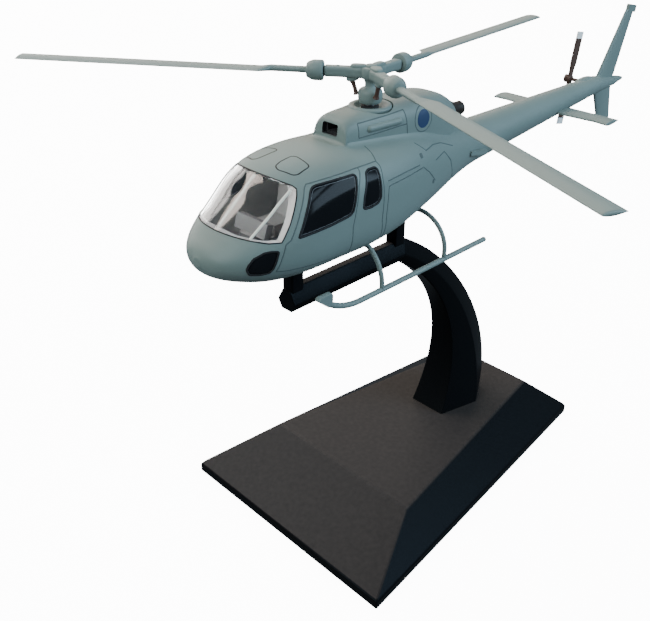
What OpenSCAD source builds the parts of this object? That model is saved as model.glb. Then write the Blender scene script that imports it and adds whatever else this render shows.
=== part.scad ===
// Scale-model helicopter with a three-blade rotor, held on a curved display stand.
// Millimetres, +Z up. The origin is the middle of the plinth's underside, the nose points to -Y
// and the port side is +X. Aircraft pieces are drawn from the aircraft's datum: y runs aft, z runs up
// from the height of the rotor hub.

/* [Plinth] */
// Width of the plinth along its front edge
plinth_front_w = 64.4; // [54:0.2:80]
// Width of the plinth along its back edge
plinth_back_w = 44.4; // [36:0.2:60]
// Depth of the plinth from front to back
plinth_d = 94.6; // [84:0.2:120]
// Height of the upright lip
lip_h = 2.6; // [2:0.1:5]
// Height of the flat top
plinth_h = 10.3; // [9:0.1:16]
// Width of the flat top along its front edge
top_front_w = 45.4; // [36:0.2:52]
// Width of the flat top along its back edge
top_back_w = 24; // [18:0.2:34]
// Run of the long slope at the front
front_run = 20.6; // [8:0.2:24]
// Run of the short slope at the back
back_run = 8.6; // [5:0.2:14]
// Wall of the hollow plinth
plinth_wall = 1.6; // [1.2:0.1:2.2]
// Thickness of the cover under the plinth
cover_t = 1.4; // [1:0.1:2]

/* [Stand arm] */
// Half width of the flared foot along its widest line
foot_hw = 8.2; // [6:0.1:9]
// Half width of the foot's front edge
foot_front_hw = 5.2; // [4:0.1:6]
// Half width of the foot's back edge
foot_back_hw = 4.2; // [3:0.1:5]
// Where the foot starts on the plinth
foot_front_y = 8.2; // [4:0.2:12]
// Where the foot ends on the plinth
foot_back_y = 27; // [22:0.2:30]
// Shank diameter of the two arm screws
arm_screw_d = 2.2; // [1.6:0.1:2.8]
// Head diameter of the two arm screws
arm_screw_head_d = 4.2; // [3.4:0.1:5]
// Spacing of the two arm screws
arm_screw_gap = 8; // [6:0.5:9]

/* [Cradle bar] */
// Half width of the six-sided bar along its widest line
bar_hw = 2.7; // [2.4:0.1:3.4]
// Half width of the bar's underside
bar_low_hw = 1.55; // [1.2:0.05:2]
// Half width of the bar's top
bar_top_hw = 0.95; // [0.8:0.05:1.5]
// Height of the bar's underside
bar_bottom_z = 62.8; // [60:0.1:64]
// Height of the bar's section
bar_h = 5.2; // [4.8:0.1:6.4]
// Height of the widest line above the underside
bar_ridge_h = 2; // [1.6:0.1:2.6]
// Front end of the bar
bar_front_y = -44.2; // [-48:0.2:-44]
// Side of the two square prongs
prong_w = 3.2; // [2.8:0.1:4]
// Side of the peg on each prong
peg_w = 2; // [1.4:0.1:2.4]
// Length of the peg on each prong
peg_h = 1.9; // [1.2:0.1:2]

/* [Aircraft placing] */
// Datum of the aircraft along the plinth
datum_y = -22; // [-24:0.2:-20]
// Height of the rotor hub
hub_z = 108.5; // [106:0.1:112]
// Mast behind the datum
mast_y = 1.4; // [0.6:0.1:2]

/* [Body shell] */
// Wall of the cabin shell
shell_wall = 1.4; // [1.2:0.05:1.6]
// Thickness of the clear panes
pane_t = 0.8; // [0.6:0.05:0.9]
// Width of the ledge that each pane sits on
ledge_w = 0.6; // [0.4:0.05:0.8]
// Half width of the windscreen's centre post
post_hw = 0.45; // [0.3:0.05:0.6]
// Clearance round each pane
pane_gap = 0.08; // [0.05:0.01:0.12]
// Height of the split between shell and belly under the cabin
split_z = -30; // [-30.4:0.1:-29.6]
// Height of that split under the engine bay
rear_split_z = -27.6; // [-28:0.1:-27.2]
// Start of the solid rear body
cavity_end_y = 8; // [4:4:12]

/* [Tail] */
// Joint between body and boom
boom_y = 36; // [34:0.2:40]
// Radius of the boom at its root
boom_root_r = 5.2; // [4.8:0.1:5.8]
// Radius of the boom at its end
boom_end_r = 2.45; // [2.3:0.05:3]
// Length of the boom
boom_l = 58; // [48:0.5:70]
// Height of the boom's axis at its root
boom_root_z = -22.2; // [-23:0.1:-21.4]
// Height of the boom's axis at its end
boom_end_z = -19.4; // [-20.6:0.1:-18.2]
// Half span of the stabiliser
stab_half_span = 17.2; // [14:0.2:20]
// Chord of the stabiliser
stab_chord = 7.4; // [6:0.1:8.4]
// Thickness of the stabiliser
stab_t = 1.1; // [0.8:0.05:1.3]

/* [Landing gear] */
// Half of the distance between the skids
skid_x = 15.1; // [14.4:0.1:16.5]
// Height of the skid tubes' centre line
skid_z = -39.5; // [-40.5:0.1:-38.8]
// Radius of the skid tubes
skid_r = 0.62; // [0.56:0.02:0.8]
// Radius of the four struts
strut_r = 0.52; // [0.5:0.02:0.6]
// Rear end of the skids
skid_end_y = 26.2; // [20:0.2:32]
// Start of the upturned toe
skid_bend_y = -15.8; // [-18:0.2:-13]

/* [Main rotor] */
// Radius of the rotor
rotor_r = 74.2; // [66:0.2:80]
// Chord of the blades
blade_chord = 4.3; // [3.6:0.1:6]
// Thickness of the blades
blade_t = 0.9; // [0.7:0.05:1.2]
// Radius of the mast shaft
mast_r = 1.1; // [0.9:0.05:1.3]
// Radius of the drum-shaped cuffs
cuff_r = 2.05; // [1.8:0.05:2.6]
// Angle of the first blade from the port side
blade_angle = 97; // [90:1:106]

/* [Tail rotor] */
// Radius of the tail rotor
tail_rotor_r = 12.9; // [10:0.1:14]
// Chord of its blades
tail_chord = 2.1; // [1.6:0.1:2.6]
// Radius of its shaft
tail_shaft_r = 0.45; // [0.35:0.05:0.6]
// Lean of the blades from upright at rest
tail_lean = 8.7; // [0:0.1:20]

/* [Hidden] */
$fn = 64;
eps = 0.01;
fit = 0.1;      // clearance of hand-assembled pieces
run_fit = 0.04; // radial clearance of turning shafts
seat = 0.05;    // gap between faces that rest on each other
grey = "#a9b8b6";
black = "#15171b";
dark = "#3a2f2b";
steel = "#b9bcc0";
clear = [0.75, 0.82, 0.85, 0.4];
ring_n = 36;

// Stations of the body: y, half width, top, bottom, height of the widest line, upper and lower roundness
body_stations = [
    [-44, 1.2, -25.7, -27.8, -26.8, 2, 2],
    [-43, 4.5, -24.2, -29.3, -26.6, 2.1, 2.1],
    [-41, 7.1, -22.4, -30.6, -26.1, 2, 2.2],
    [-38, 9.4, -19.7, -31.7, -25.4, 1.85, 2.4],
    [-34, 11.2, -16.4, -32.7, -24.6, 1.9, 2.6],
    [-29.5, 12.3, -12.6, -33.1, -24, 2.05, 2.8],
    [-24, 12.8, -11.2, -33.2, -23.6, 2.5, 3],
    [-16, 13, -11.1, -33.2, -23.4, 3, 3],
    [-8, 13, -11.6, -33.2, -23.2, 3.2, 3],
    [0, 12.4, -11.9, -32.8, -22.6, 3.2, 2.9],
    [8, 11.1, -12.2, -32, -22.1, 2.9, 2.6],
    [16, 9.3, -13.2, -30.8, -22, 2.5, 2.4],
    [24, 7.4, -14.8, -29.2, -22, 2.3, 2.2],
    [31, 5.9, -16.2, -28, -22.1, 2.1, 2.1],
    [boom_y, boom_root_r, boom_root_z + boom_root_r, boom_root_z - boom_root_r, boom_root_z, 2, 2]
];
// Stations of the cowl, buried in the roof at their lower side
cowl_low_z = -16;
cowl_mid_z = -12;
cowl_stations = [
    [-10.2, 4.6, -9.9, cowl_low_z, cowl_mid_z, 4, 4],
    [-9, 4.6, -7, cowl_low_z, cowl_mid_z, 4, 4],
    [-2.5, 5.4, -6.5, cowl_low_z, cowl_mid_z, 4, 4],
    [5.5, 6.3, -6.3, cowl_low_z, cowl_mid_z, 4, 4],
    [13.5, 6.5, -6.2, cowl_low_z, cowl_mid_z, 4, 4],
    [19.5, 6.1, -6.8, cowl_low_z, cowl_mid_z, 3.6, 4],
    [23.5, 5.2, -8.4, cowl_low_z, cowl_mid_z, 3, 4],
    [26.5, 4, -10.4, cowl_low_z, cowl_mid_z, 2.6, 4]
];
function spline(p0, p1, p2, p3, t) =
    0.5 * (2 * p1 + (p2 - p0) * t + (2 * p0 - 5 * p1 + 4 * p2 - p3) * t * t
    + (3 * p1 - p0 - 3 * p2 + p3) * t * t * t);
function smoothed(rows, steps) = let (last = len(rows) - 1) [
    for (i = [0:last - 1], j = [0:steps - 1])
        spline(rows[max(i - 1, 0)], rows[i], rows[i + 1], rows[min(i + 2, last)], j / steps),
    rows[last]
];
body_rows = smoothed(body_stations, 2);
cowl_rows = smoothed(cowl_stations, 2);
function between(rows, from_y, to_y) = [for (r = rows) if (r[0] >= from_y && r[0] <= to_y) r];

// One ring of a loft: a superellipse with its own roundness above and below the widest line
function power(c, p) = sign(c) * pow(abs(c), 2 / p);
function ring(r, inset) = [
    for (i = [0:ring_n - 1])
        let (a = 360 * i / ring_n, up = sin(a) >= 0, p = up ? r[5] : r[6])
        let (h = (up ? r[2] - r[4] : r[4] - r[3]) - inset)
        [(r[1] - inset) * power(cos(a), p), r[0], r[4] + h * power(sin(a), p)]
];
module bay(a, b) {
    n = len(a);
    sides = [for (i = [0:n - 1]) [i, (i + 1) % n, n + (i + 1) % n, n + i]];
    caps = [[for (i = [n - 1:-1:0]) i], [for (i = [0:n - 1]) n + i]];
    hull() polyhedron(points = concat(a, b), faces = concat(caps, sides));
}
module loft(rows, inset = 0)
    for (i = [0:len(rows) - 2])
        bay(ring(rows[i], inset), ring(rows[i + 1], inset));

function bezier(p, t) =
    pow(1 - t, 3) * p[0] + 3 * t * pow(1 - t, 2) * p[1] + 3 * t * t * (1 - t) * p[2] + t * t * t * p[3];
module aircraft() translate([0, datum_y, hub_z]) children();
module at_mast() aircraft() translate([0, mast_y, 0]) children();
// A side-view outline (y, z) drawn right across the aircraft, or over one side of it
module across(outline, from_x = -20, to_x = 20)
    translate([from_x, 0, 0])
        rotate([90, 0, 90])
            linear_extrude(to_x - from_x) polygon(outline);
module along_y(r, from_y, to_y, x = 0, z = 0)
    translate([x, from_y, z]) rotate([-90, 0, 0]) cylinder(h = to_y - from_y, r = r);
module along_x(r, from_x, to_x, y = 0, z = 0)
    translate([from_x, y, z]) rotate([0, 90, 0]) cylinder(h = to_x - from_x, r = r);
module block(from, to) translate(from) cube(to - from);

// Plinth
plinth_front_y = -plinth_d / 2;
plinth_back_y = plinth_d / 2;
top_front_y = plinth_front_y + front_run;
top_back_y = plinth_back_y - back_run;
foot_mid_y = (foot_front_y + foot_back_y) / 2;
function trapezoid(front_w, back_w, y0, y1, inset) = [
    [-front_w / 2 + inset, y0 + inset], [front_w / 2 - inset, y0 + inset],
    [back_w / 2 - inset, y1 - inset], [-back_w / 2 + inset, y1 - inset]
];
module plinth_body(inset) {
    hull() {
        linear_extrude(lip_h)
            polygon(trapezoid(plinth_front_w, plinth_back_w, plinth_front_y, plinth_back_y, inset));
        translate([0, 0, plinth_h - inset - eps]) linear_extrude(eps)
            polygon(trapezoid(top_front_w, top_back_w, top_front_y, top_back_y, inset));
    }
}
module at_arm_screws()
    for (s = [-1, 1]) translate([0, foot_mid_y + s * arm_screw_gap / 2, 0]) children();
module plinth() {
    color(black) difference() {
        plinth_body(0);
        translate([0, 0, -eps]) plinth_body(plinth_wall);
        at_arm_screws() cylinder(h = plinth_h + 1, d = arm_screw_d + 2 * fit);
    }
}
module plinth_cover() {
    color(black) linear_extrude(cover_t)
        polygon(trapezoid(plinth_front_w, plinth_back_w, plinth_front_y, plinth_back_y, plinth_wall + fit));
}

// Arm screws, driven up through the plinth into the arm
arm_screw_head_h = 1.5;
arm_screw_l = 8;
module arm_screws() {
    under_top = plinth_h - plinth_wall - eps;
    color(steel) at_arm_screws() {
        translate([0, 0, under_top - arm_screw_head_h])
            cylinder(h = arm_screw_head_h, d = arm_screw_head_d);
        translate([0, 0, under_top - seat]) cylinder(h = arm_screw_l, d = arm_screw_d);
    }
}

// Stand arm: a six-sided horn that carries on the bar's section and flares to its foot
bar_top_z = bar_bottom_z + bar_h;
knee_in = [-10, bar_bottom_z];
knee_out = [-7.8, bar_top_z];
arm_steps = 14;
arm_inner = [knee_in, [5, 54], [19.5, 35], [foot_front_y, plinth_h]];
arm_outer = [knee_out, [8.7, 60.3], [33.3, 33.8], [foot_back_y, plinth_h]];
arm_low_hw = [bar_low_hw, bar_low_hw + 0.6, bar_low_hw + 1.8, foot_front_hw];
arm_wide_hw = [bar_hw, bar_hw + 0.2, bar_hw + 1.3, foot_hw];
arm_top_hw = [bar_top_hw, bar_top_hw + 0.4, bar_top_hw + 1.3, foot_back_hw];
arm_ridge = [bar_ridge_h / bar_h, 0.42, 0.5, 0.63];
function arm_ring(t) =
    let (inner = bezier(arm_inner, t), outer = bezier(arm_outer, t))
    let (wide = inner + bezier(arm_ridge, t) * (outer - inner))
    let (a = bezier(arm_low_hw, t), b = bezier(arm_wide_hw, t), c = bezier(arm_top_hw, t))
    [
        [-a, inner[0], inner[1]], [a, inner[0], inner[1]], [b, wide[0], wide[1]],
        [c, outer[0], outer[1]], [-c, outer[0], outer[1]], [-b, wide[0], wide[1]]
    ];
tenon_hw = bar_top_hw + 0.25;
tenon_front_y = -17;
tenon_low_z = bar_bottom_z + 1.4;
tenon_high_z = bar_top_z - 1.8;
module stand_arm() {
    color(black) difference() {
        union() {
            for (i = [0:arm_steps - 1])
                bay(arm_ring(i / arm_steps), arm_ring((i + 1) / arm_steps));
            block([-tenon_hw, tenon_front_y, tenon_low_z], [tenon_hw, knee_out[0], tenon_high_z]);
        }
        at_arm_screws() translate([0, 0, plinth_h - 1])
            cylinder(h = arm_screw_l + 1, d = arm_screw_d + 2 * seat);
    }
}

// Cradle bar with a prong at each end
front_prong_y = -20.2;
rear_prong_y = 12;
front_seat_z = -33.4;
rear_seat_z = -32.2;
lift_gap = 0.1;
bar_nose = 0.5;
bar_section = [
    [-bar_low_hw, bar_bottom_z], [bar_low_hw, bar_bottom_z], [bar_hw, bar_bottom_z + bar_ridge_h],
    [bar_top_hw, bar_top_z], [-bar_top_hw, bar_top_z], [-bar_hw, bar_bottom_z + bar_ridge_h]
];
bar_side = [
    [bar_front_y, bar_bottom_z], [knee_in[0] - seat, bar_bottom_z], [knee_out[0] - seat, bar_top_z],
    [bar_front_y + bar_nose, bar_top_z], [bar_front_y, bar_top_z - bar_nose]
];
module prong(y, seat_z) {
    shoulder = hub_z + seat_z - lift_gap;
    translate([0, datum_y + y, 0]) {
        block([-prong_w / 2, -prong_w / 2, bar_top_z - 0.8], [prong_w / 2, prong_w / 2, shoulder]);
        block([-peg_w / 2, -peg_w / 2, shoulder - 1], [peg_w / 2, peg_w / 2, shoulder + peg_h]);
    }
}
module cradle_bar() {
    color(black) difference() {
        union() {
            intersection() {
                across(bar_side);
                translate([0, 20, 0]) rotate([90, 0, 0]) linear_extrude(80) polygon(bar_section);
            }
            prong(front_prong_y, front_seat_z);
            prong(rear_prong_y, rear_seat_z);
        }
        block([-tenon_hw - fit, tenon_front_y - fit, tenon_low_z - fit],
              [tenon_hw + fit, 0, tenon_high_z + fit]);
    }
}

// Openings of the cabin in side view
windscreen_outline = [
    [-50, -21], [-40, -21.3], [-35.2, -22.3], [-33, -22.4], [-30.9, -19.8], [-28.9, -17],
    [-27.6, -15.2], [-27.1, -14.4], [-27.4, -13.9], [-28.4, -13.4], [-29.3, -12.95],
    [-29.9, -12.6], [-29.9, -8], [-50, -8]
];
door_outline = [
    [-30, -22.2], [-27.2, -17.7], [-24.6, -14.9], [-23.3, -14.3], [-14.7, -14.2],
    [-14.2, -14.8], [-15.1, -17.4], [-15.9, -20.6], [-16.5, -21.4], [-18.3, -21.8]
];
rear_outline = [
    [-13.6, -20.8], [-13.4, -19.2], [-11.2, -14.8], [-10.3, -14.3], [-8.6, -14.3],
    [-8.1, -15], [-8.2, -17.2], [-8.4, -19.6], [-9.1, -20.7], [-12.7, -21.2]
];
chin_outline = [
    [-39.3, -26.8], [-39, -25.8], [-38.2, -24.7], [-36.3, -23.8], [-35, -23.7],
    [-33.8, -23.9], [-34.2, -25.4], [-34.8, -27.4], [-35.4, -28.2], [-36.9, -28.3], [-38.7, -28]
];
module grown(outline, by, from_x, to_x)
    translate([from_x, 0, 0])
        rotate([90, 0, 90])
            linear_extrude(to_x - from_x) offset(delta = by) polygon(outline);
module openings(by) {
    grown(windscreen_outline, by, -20, 20);
    for (outline = [door_outline, rear_outline, chin_outline]) {
        grown(outline, by, 5, 20);
        grown(outline, by, -20, -5);
    }
}
module pane(outline, from_x, to_x, from_y, to_y) {
    rows = between(body_rows, from_y, to_y);
    color(clear) aircraft() intersection() {
        difference() {
            loft(rows);
            loft(between(rows, -41.5, to_y), pane_t);
        }
        grown(outline, -pane_gap, from_x, to_x);
    }
}
module windscreen() pane(windscreen_outline, -20, 20, -44, -25);
module door_window_port() pane(door_outline, 5, 20, -34, -8);
module door_window_starboard() pane(door_outline, -20, -5, -34, -8);
module rear_window_port() pane(rear_outline, 5, 20, -20, 0);
module rear_window_starboard() pane(rear_outline, -20, -5, -20, 0);
module chin_window_port() pane(chin_outline, 5, 20, -44, -29);
module chin_window_starboard() pane(chin_outline, -20, -5, -44, -29);

// Cabin shell and the belly pan that closes it
pan_front_y = -34;
pan_rear_y = 22;
pan_step_y = [4, 7];
pan_outline = [
    [pan_front_y, -45], [pan_rear_y, -45], [pan_rear_y, rear_split_z], [pan_step_y[1], rear_split_z],
    [pan_step_y[0], split_z], [pan_front_y, split_z]
];
belly_screw_y = 18;
belly_screw_r = 0.9;
screw_head_r = 1.7;
screw_seat_z = -29.2;
spigot_r = 4.2;
spigot_l = 5;
bush_r = 1.85;
bush_low_z = -14;
bush_high_z = -6.4;
module cabin_shell() {
    color(grey) aircraft() difference() {
        loft(body_rows);
        loft(between(body_rows, -39, cavity_end_y), shell_wall);
        difference() {
            openings(0);
            loft(between(body_rows, -41.5, 4), pane_t + seat);
        }
        difference() {
            openings(-ledge_w);
            block([-post_hw, -50, -30], [post_hw, -20, 0]);
        }
        grown(pan_outline, seat, -20, 20);
        translate([0, mast_y, bush_low_z - 1]) cylinder(h = 6, r = bush_r + fit);
        translate([0, belly_screw_y, rear_split_z - 1]) cylinder(h = 6, r = belly_screw_r + fit);
        along_y(spigot_r + fit, boom_y - spigot_l - fit, boom_y + 1, 0, boom_root_z);
    }
}
peg_hole_w = peg_w + 2 * fit;
strut_peg_r = strut_r - 0.04;
strut_front_y = -9.4;
strut_rear_y = 10.9;
strut_front_z = -31;
strut_rear_z = -30.2;
strut_peg_end_x = 4;
module belly_seat(y, seat_z)
    translate([-prong_w / 2, y - prong_w / 2, seat_z]) cube([prong_w, prong_w, 3]);
module peg_hole(y, seat_z)
    translate([-peg_hole_w / 2, y - peg_hole_w / 2, seat_z - 5])
        cube([peg_hole_w, peg_hole_w, peg_h + 5 + fit]);
module strut_holes()
    for (p = [[strut_front_y, strut_front_z], [strut_rear_y, strut_rear_z]]) {
        along_x(strut_peg_r + fit, strut_peg_end_x - fit, 20, p[0], p[1]);
        along_x(strut_peg_r + fit, -20, fit - strut_peg_end_x, p[0], p[1]);
    }
module belly_pan() {
    color(grey) aircraft() difference() {
        union() {
            intersection() {
                loft(between(body_rows, -40, 30));
                across(pan_outline);
            }
            belly_seat(front_prong_y, front_seat_z);
            belly_seat(rear_prong_y, rear_seat_z);
        }
        peg_hole(front_prong_y, front_seat_z);
        peg_hole(rear_prong_y, rear_seat_z);
        strut_holes();
        translate([0, belly_screw_y, -45]) cylinder(h = 20, r = belly_screw_r + fit);
        translate([0, belly_screw_y, -45]) cylinder(h = 45 + screw_seat_z, r = screw_head_r + 2 * fit);
    }
}
module belly_screw() {
    color(steel) aircraft() translate([0, belly_screw_y, screw_seat_z - seat]) {
        translate([0, 0, -1]) cylinder(h = 1, r = screw_head_r);
        translate([0, 0, -seat]) cylinder(h = 5.4, r = belly_screw_r);
    }
}

// Cabin fittings
floor_t = 0.8;
floor_low_z = split_z + 2 * seat;
floor_z = floor_low_z + floor_t;
seat_x = 4.6;
seat_y = -23.5;
module cabin_floor() {
    color(black) aircraft() translate([0, 0, floor_low_z]) linear_extrude(floor_t)
        polygon([[-5.6, -33], [5.6, -33], [8.2, -28], [8.2, -4], [-8.2, -4], [-8.2, -28]]);
}
module chair(w, depth, cushion_h, back_h) {
    block([-w / 2, 0, 0], [w / 2, depth, cushion_h]);
    translate([0, depth - 1.6, 0]) rotate([-10, 0, 0])
        block([0.3 - w / 2, 0, 0.8], [w / 2 - 0.3, 1.6, back_h]);
}
module at_floor(x, y) aircraft() translate([x, y, floor_z + seat]) children();
module pilot_seat() color(dark) at_floor(-seat_x, seat_y) chair(5.4, 6, 2.6, 9.5);
module copilot_seat() color(dark) at_floor(seat_x, seat_y) chair(5.4, 6, 2.6, 9.5);
module rear_bench() color(dark) at_floor(0, -11.5) chair(15.5, 5.4, 2.6, 8.5);
module cabin_bulkhead() {
    color(black) aircraft() intersection() {
        loft(between(body_rows, -12, 4), shell_wall + fit);
        block([-20, -3.4, floor_z + seat], [20, -2.4, 0]);
    }
}
module instrument_console() {
    color(black) at_floor(0, -33) {
        block([-1.6, 0.4, 0], [1.6, 5, 4.4]);
        translate([0, 2.2, 4]) rotate([-18, 0, 0]) block([-4.4, -0.8, 0], [4.4, 0.8, 3]);
    }
}

// Engine cowl, its intake and the exhaust
duct_hw = 2.1;
duct_low_z = -10.3;
duct_high_z = -7.9;
duct_start_y = -8.9;
duct_end_y = -5.4;
collar_r = 4.4;
collar_low_z = -7.2;
nozzle_z = -12.7;
nozzle_r = 1.5;
nozzle_end_r = 1.95;
nozzle_start_y = 23.6;
nozzle_end_y = 32;
cowl_rail_z = -9.2;
module engine_cowl() {
    color(grey) aircraft() difference() {
        union() {
            loft(cowl_rows);
            for (s = [-1, 1])
                hull() {
                    translate([s * 4.9, -4.3, cowl_rail_z]) sphere(r = 0.7, $fn = 16);
                    translate([s * 5.8, 4.2, cowl_rail_z]) sphere(r = 0.7, $fn = 16);
                }
        }
        loft(between(body_rows, -20, 36), -seat);
        translate([0, mast_y, collar_low_z - seat]) cylinder(h = 4, r = collar_r + 0.4);
        translate([0, mast_y, bush_low_z - 1]) cylinder(h = 10, r = bush_r + fit);
        block([-duct_hw - fit, -20, duct_low_z - fit],
              [duct_hw + fit, duct_end_y + fit, duct_high_z + fit]);
        along_y(nozzle_r + fit, nozzle_start_y - fit, nozzle_end_y, 0, nozzle_z);
    }
}
module intake_duct() {
    duct_wall = 0.4;
    color(black) aircraft() difference() {
        block([-duct_hw, duct_start_y, duct_low_z], [duct_hw, duct_end_y, duct_high_z]);
        block([-duct_hw + duct_wall, -20, duct_low_z + duct_wall],
              [duct_hw - duct_wall, duct_end_y - duct_wall, duct_high_z - duct_wall]);
    }
}
module exhaust_nozzle() {
    l = nozzle_end_y - nozzle_start_y;
    wall = 0.35;
    color(dark) aircraft() translate([0, nozzle_start_y, nozzle_z]) rotate([-90, 0, 0]) rotate_extrude()
        polygon([
            [nozzle_r - wall, 0], [nozzle_r, 0], [nozzle_r, l * 0.6],
            [nozzle_r + 0.1, l * 0.8], [nozzle_end_r, l],
            [nozzle_end_r - wall, l], [nozzle_r + 0.1 - wall, l * 0.8], [nozzle_r - wall, l * 0.6]
        ]);
}
module mast_collar() {
    color(grey) at_mast() rotate_extrude()
        polygon([
            [bush_r + fit, collar_low_z], [collar_r, collar_low_z], [collar_r, collar_low_z + 0.5],
            [collar_r - 0.6, collar_low_z + 0.9], [bush_r + fit, collar_low_z + 0.9]
        ]);
}
module mast_bush() {
    color(steel) at_mast() translate([0, 0, bush_low_z]) difference() {
        cylinder(h = bush_high_z - bush_low_z, r = bush_r);
        translate([0, 0, -1]) cylinder(h = bush_high_z - bush_low_z + 2, r = mast_r + run_fit);
    }
}

// Tail boom and what it carries
boom_end_y = boom_y + boom_l;
boom_slope = atan2(boom_end_z - boom_root_z, boom_l);
function boom_at(y) = let (t = (y - boom_y) / boom_l)
    [boom_root_z + t * (boom_end_z - boom_root_z), boom_root_r + t * (boom_end_r - boom_root_r)];
module boom_cone(from_y, to_y) {
    a = boom_at(from_y);
    b = boom_at(to_y);
    translate([0, from_y, a[0]]) rotate([boom_slope - 90, 0, 0])
        cylinder(h = (to_y - from_y) / cos(boom_slope), r1 = a[1], r2 = b[1]);
}
stab_z = -22;
fin_spigot_r = 1.2;
fin_spigot_l = 4;
tail_shaft_y = boom_end_y - 3.3;
// The stabiliser ends ahead of the tail rotor's sweep
stab_y = tail_shaft_y - tail_rotor_r - stab_chord;
tail_shaft_z = boom_end_z + 1.2;
tail_bush_r = tail_shaft_r + 0.3;
tail_bush_in_x = 0.9;
tail_bush_out_x = -2.6;
// Half of a wing section, as a share of its greatest half thickness, at a share t of the chord
function wing_half(t) = (1.32 * sqrt(t) - 0.62 * t - 0.7 * pow(t, 3)) / 0.543;
wing_edge = 0.06; // half thickness left at the sharp edges
function wing_y(t, thick) = wing_edge + wing_half(t) * (thick / 2 - wing_edge);
function wing_section(chord, thick, n = 8) = concat(
    [for (i = [0:n]) let (t = pow(i / n, 2)) [t * chord, wing_y(t, thick)]],
    [for (i = [n:-1:0]) let (t = pow(i / n, 2)) [t * chord, -wing_y(t, thick)]]
);
module tail_boom() {
    color(grey) aircraft() difference() {
        union() {
            intersection() {
                boom_cone(boom_y - 1, boom_end_y + 1);
                block([-10, boom_y + seat, -40], [10, boom_end_y, 0]);
            }
            along_y(spigot_r, boom_y - spigot_l, boom_y + 2, 0, boom_root_z);
            along_y(fin_spigot_r, boom_end_y - 2, boom_end_y + fin_spigot_l, 0, boom_end_z);
        }
        along_x(tail_bush_r + seat, -10, tail_bush_in_x + seat, tail_shaft_y, tail_shaft_z);
        block([-20, stab_y - fit, stab_z - stab_t / 2 - fit],
              [20, stab_y + stab_chord + fit, stab_z + stab_t / 2 + fit]);
    }
}
module stabiliser() {
    color(grey) aircraft() translate([-stab_half_span, stab_y, stab_z]) rotate([90, 0, 90])
        linear_extrude(2 * stab_half_span) polygon(wing_section(stab_chord, stab_t));
}
// Fin sections behind and above the end of the boom: front edge, rear edge, height
function behind_boom(s) = [boom_end_y + s[0], boom_end_y + s[1], boom_end_z + s[2]];
fin_root = behind_boom([1, 10.8, 1]);
fin_tip = behind_boom([11.9, 15.9, 18.8]);
lower_root = behind_boom([0.4, 10.2, -1]);
lower_tip = behind_boom([4.7, 12.2, -9.2]);
fin_t = 1.7;
fin_end_y = fin_root[1];
fin_slot_hw = 0.4; // half width of the notch that the fin's rear edge runs into
module fin_slice(s, thick)
    translate([0, s[0], s[2]]) rotate([0, 0, 90])
        linear_extrude(eps) polygon(wing_section(s[1] - s[0], thick));
module tail_fin() {
    color(grey) aircraft() difference() {
        union() {
            intersection() {
                boom_cone(boom_end_y - 1, fin_end_y + 1);
                block([-10, boom_end_y + seat, -40], [10, fin_end_y, 0]);
            }
            hull() {
                fin_slice(fin_root, fin_t);
                fin_slice(fin_tip, fin_t * 0.6);
            }
            hull() {
                fin_slice(lower_root, fin_t);
                fin_slice(lower_tip, fin_t * 0.6);
            }
            block([-0.45, fin_tip[1] - 2.6, fin_tip[2] - 1], [0.45, fin_tip[1] + 0.3, fin_tip[2] + 0.7]);
        }
        along_y(fin_spigot_r + fit, boom_end_y - 1, boom_end_y + fin_spigot_l + fit, 0, boom_end_z);
    }
}
tail_cone_l = 5.6;
module tail_cone() {
    e = boom_at(fin_end_y);
    color(grey) aircraft() difference() {
        translate([0, fin_end_y + seat, e[0]]) rotate([-90, 0, 0]) rotate_extrude()
            polygon([
                [0, 0], [e[1] - 0.1, 0], [e[1] - 0.35, tail_cone_l * 0.4], [e[1] * 0.55, tail_cone_l * 0.8],
                [0.5, tail_cone_l], [0, tail_cone_l]
            ]);
        block([-fin_slot_hw, fin_end_y - 1, fin_root[2] - fit],
              [fin_slot_hw, fin_end_y + 1, fin_root[2] + 5]);
    }
}
module tail_bush() {
    color(steel) aircraft() difference() {
        along_x(tail_bush_r, tail_bush_out_x, tail_bush_in_x, tail_shaft_y, tail_shaft_z);
        along_x(tail_shaft_r + run_fit, tail_bush_out_x - 1, tail_bush_in_x + 1,
                tail_shaft_y, tail_shaft_z);
    }
}
module side_step() {
    color(grey) aircraft() difference() {
        hull()
            for (p = [[30, -22.2], [35.4, -23]])
                translate([4, p[0], p[1]]) rotate([0, 90, 0]) cylinder(h = 2.6, r = 0.55, $fn = 24);
        loft(between(body_rows, 20, 40), -seat);
    }
}

// Landing gear: each strut leaves the belly at its own angle and bends down to its skid
toe_bend_r = 16;
toe_turn = 35;
strut_pin_r = strut_r - 0.2;
strut_pin_l = 0.8;
front_lean = 32;
module strut(y, peg_z, lean, bend_share) {
    foot_z = skid_z + skid_r + seat;
    bend_r = bend_share * (peg_z - foot_z) / cos(lean);
    start_x = skid_x - bend_r * (1 - sin(lean));
    centre_z = peg_z - bend_r * cos(lean);
    color(grey) aircraft() translate([0, y, 0]) {
        along_x(strut_peg_r, strut_peg_end_x, start_x + 0.4 * sin(lean), 0, peg_z);
        translate([skid_x - bend_r, 0, centre_z]) rotate([90, 0, 0])
            rotate_extrude(angle = 90 - lean) translate([bend_r, 0]) circle(r = strut_r, $fn = 32);
        translate([skid_x, 0, foot_z]) cylinder(h = centre_z - foot_z, r = strut_r, $fn = 32);
        translate([skid_x, 0, foot_z - strut_pin_l]) cylinder(h = strut_pin_l + 0.5, r = strut_pin_r);
    }
}
module strut_front_port() strut(strut_front_y, strut_front_z, front_lean, 0.98);
module strut_rear_port() strut(strut_rear_y, strut_rear_z, 0, 0.85);
module strut_front_starboard() mirror([1, 0, 0]) strut(strut_front_y, strut_front_z, front_lean, 0.98);
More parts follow.
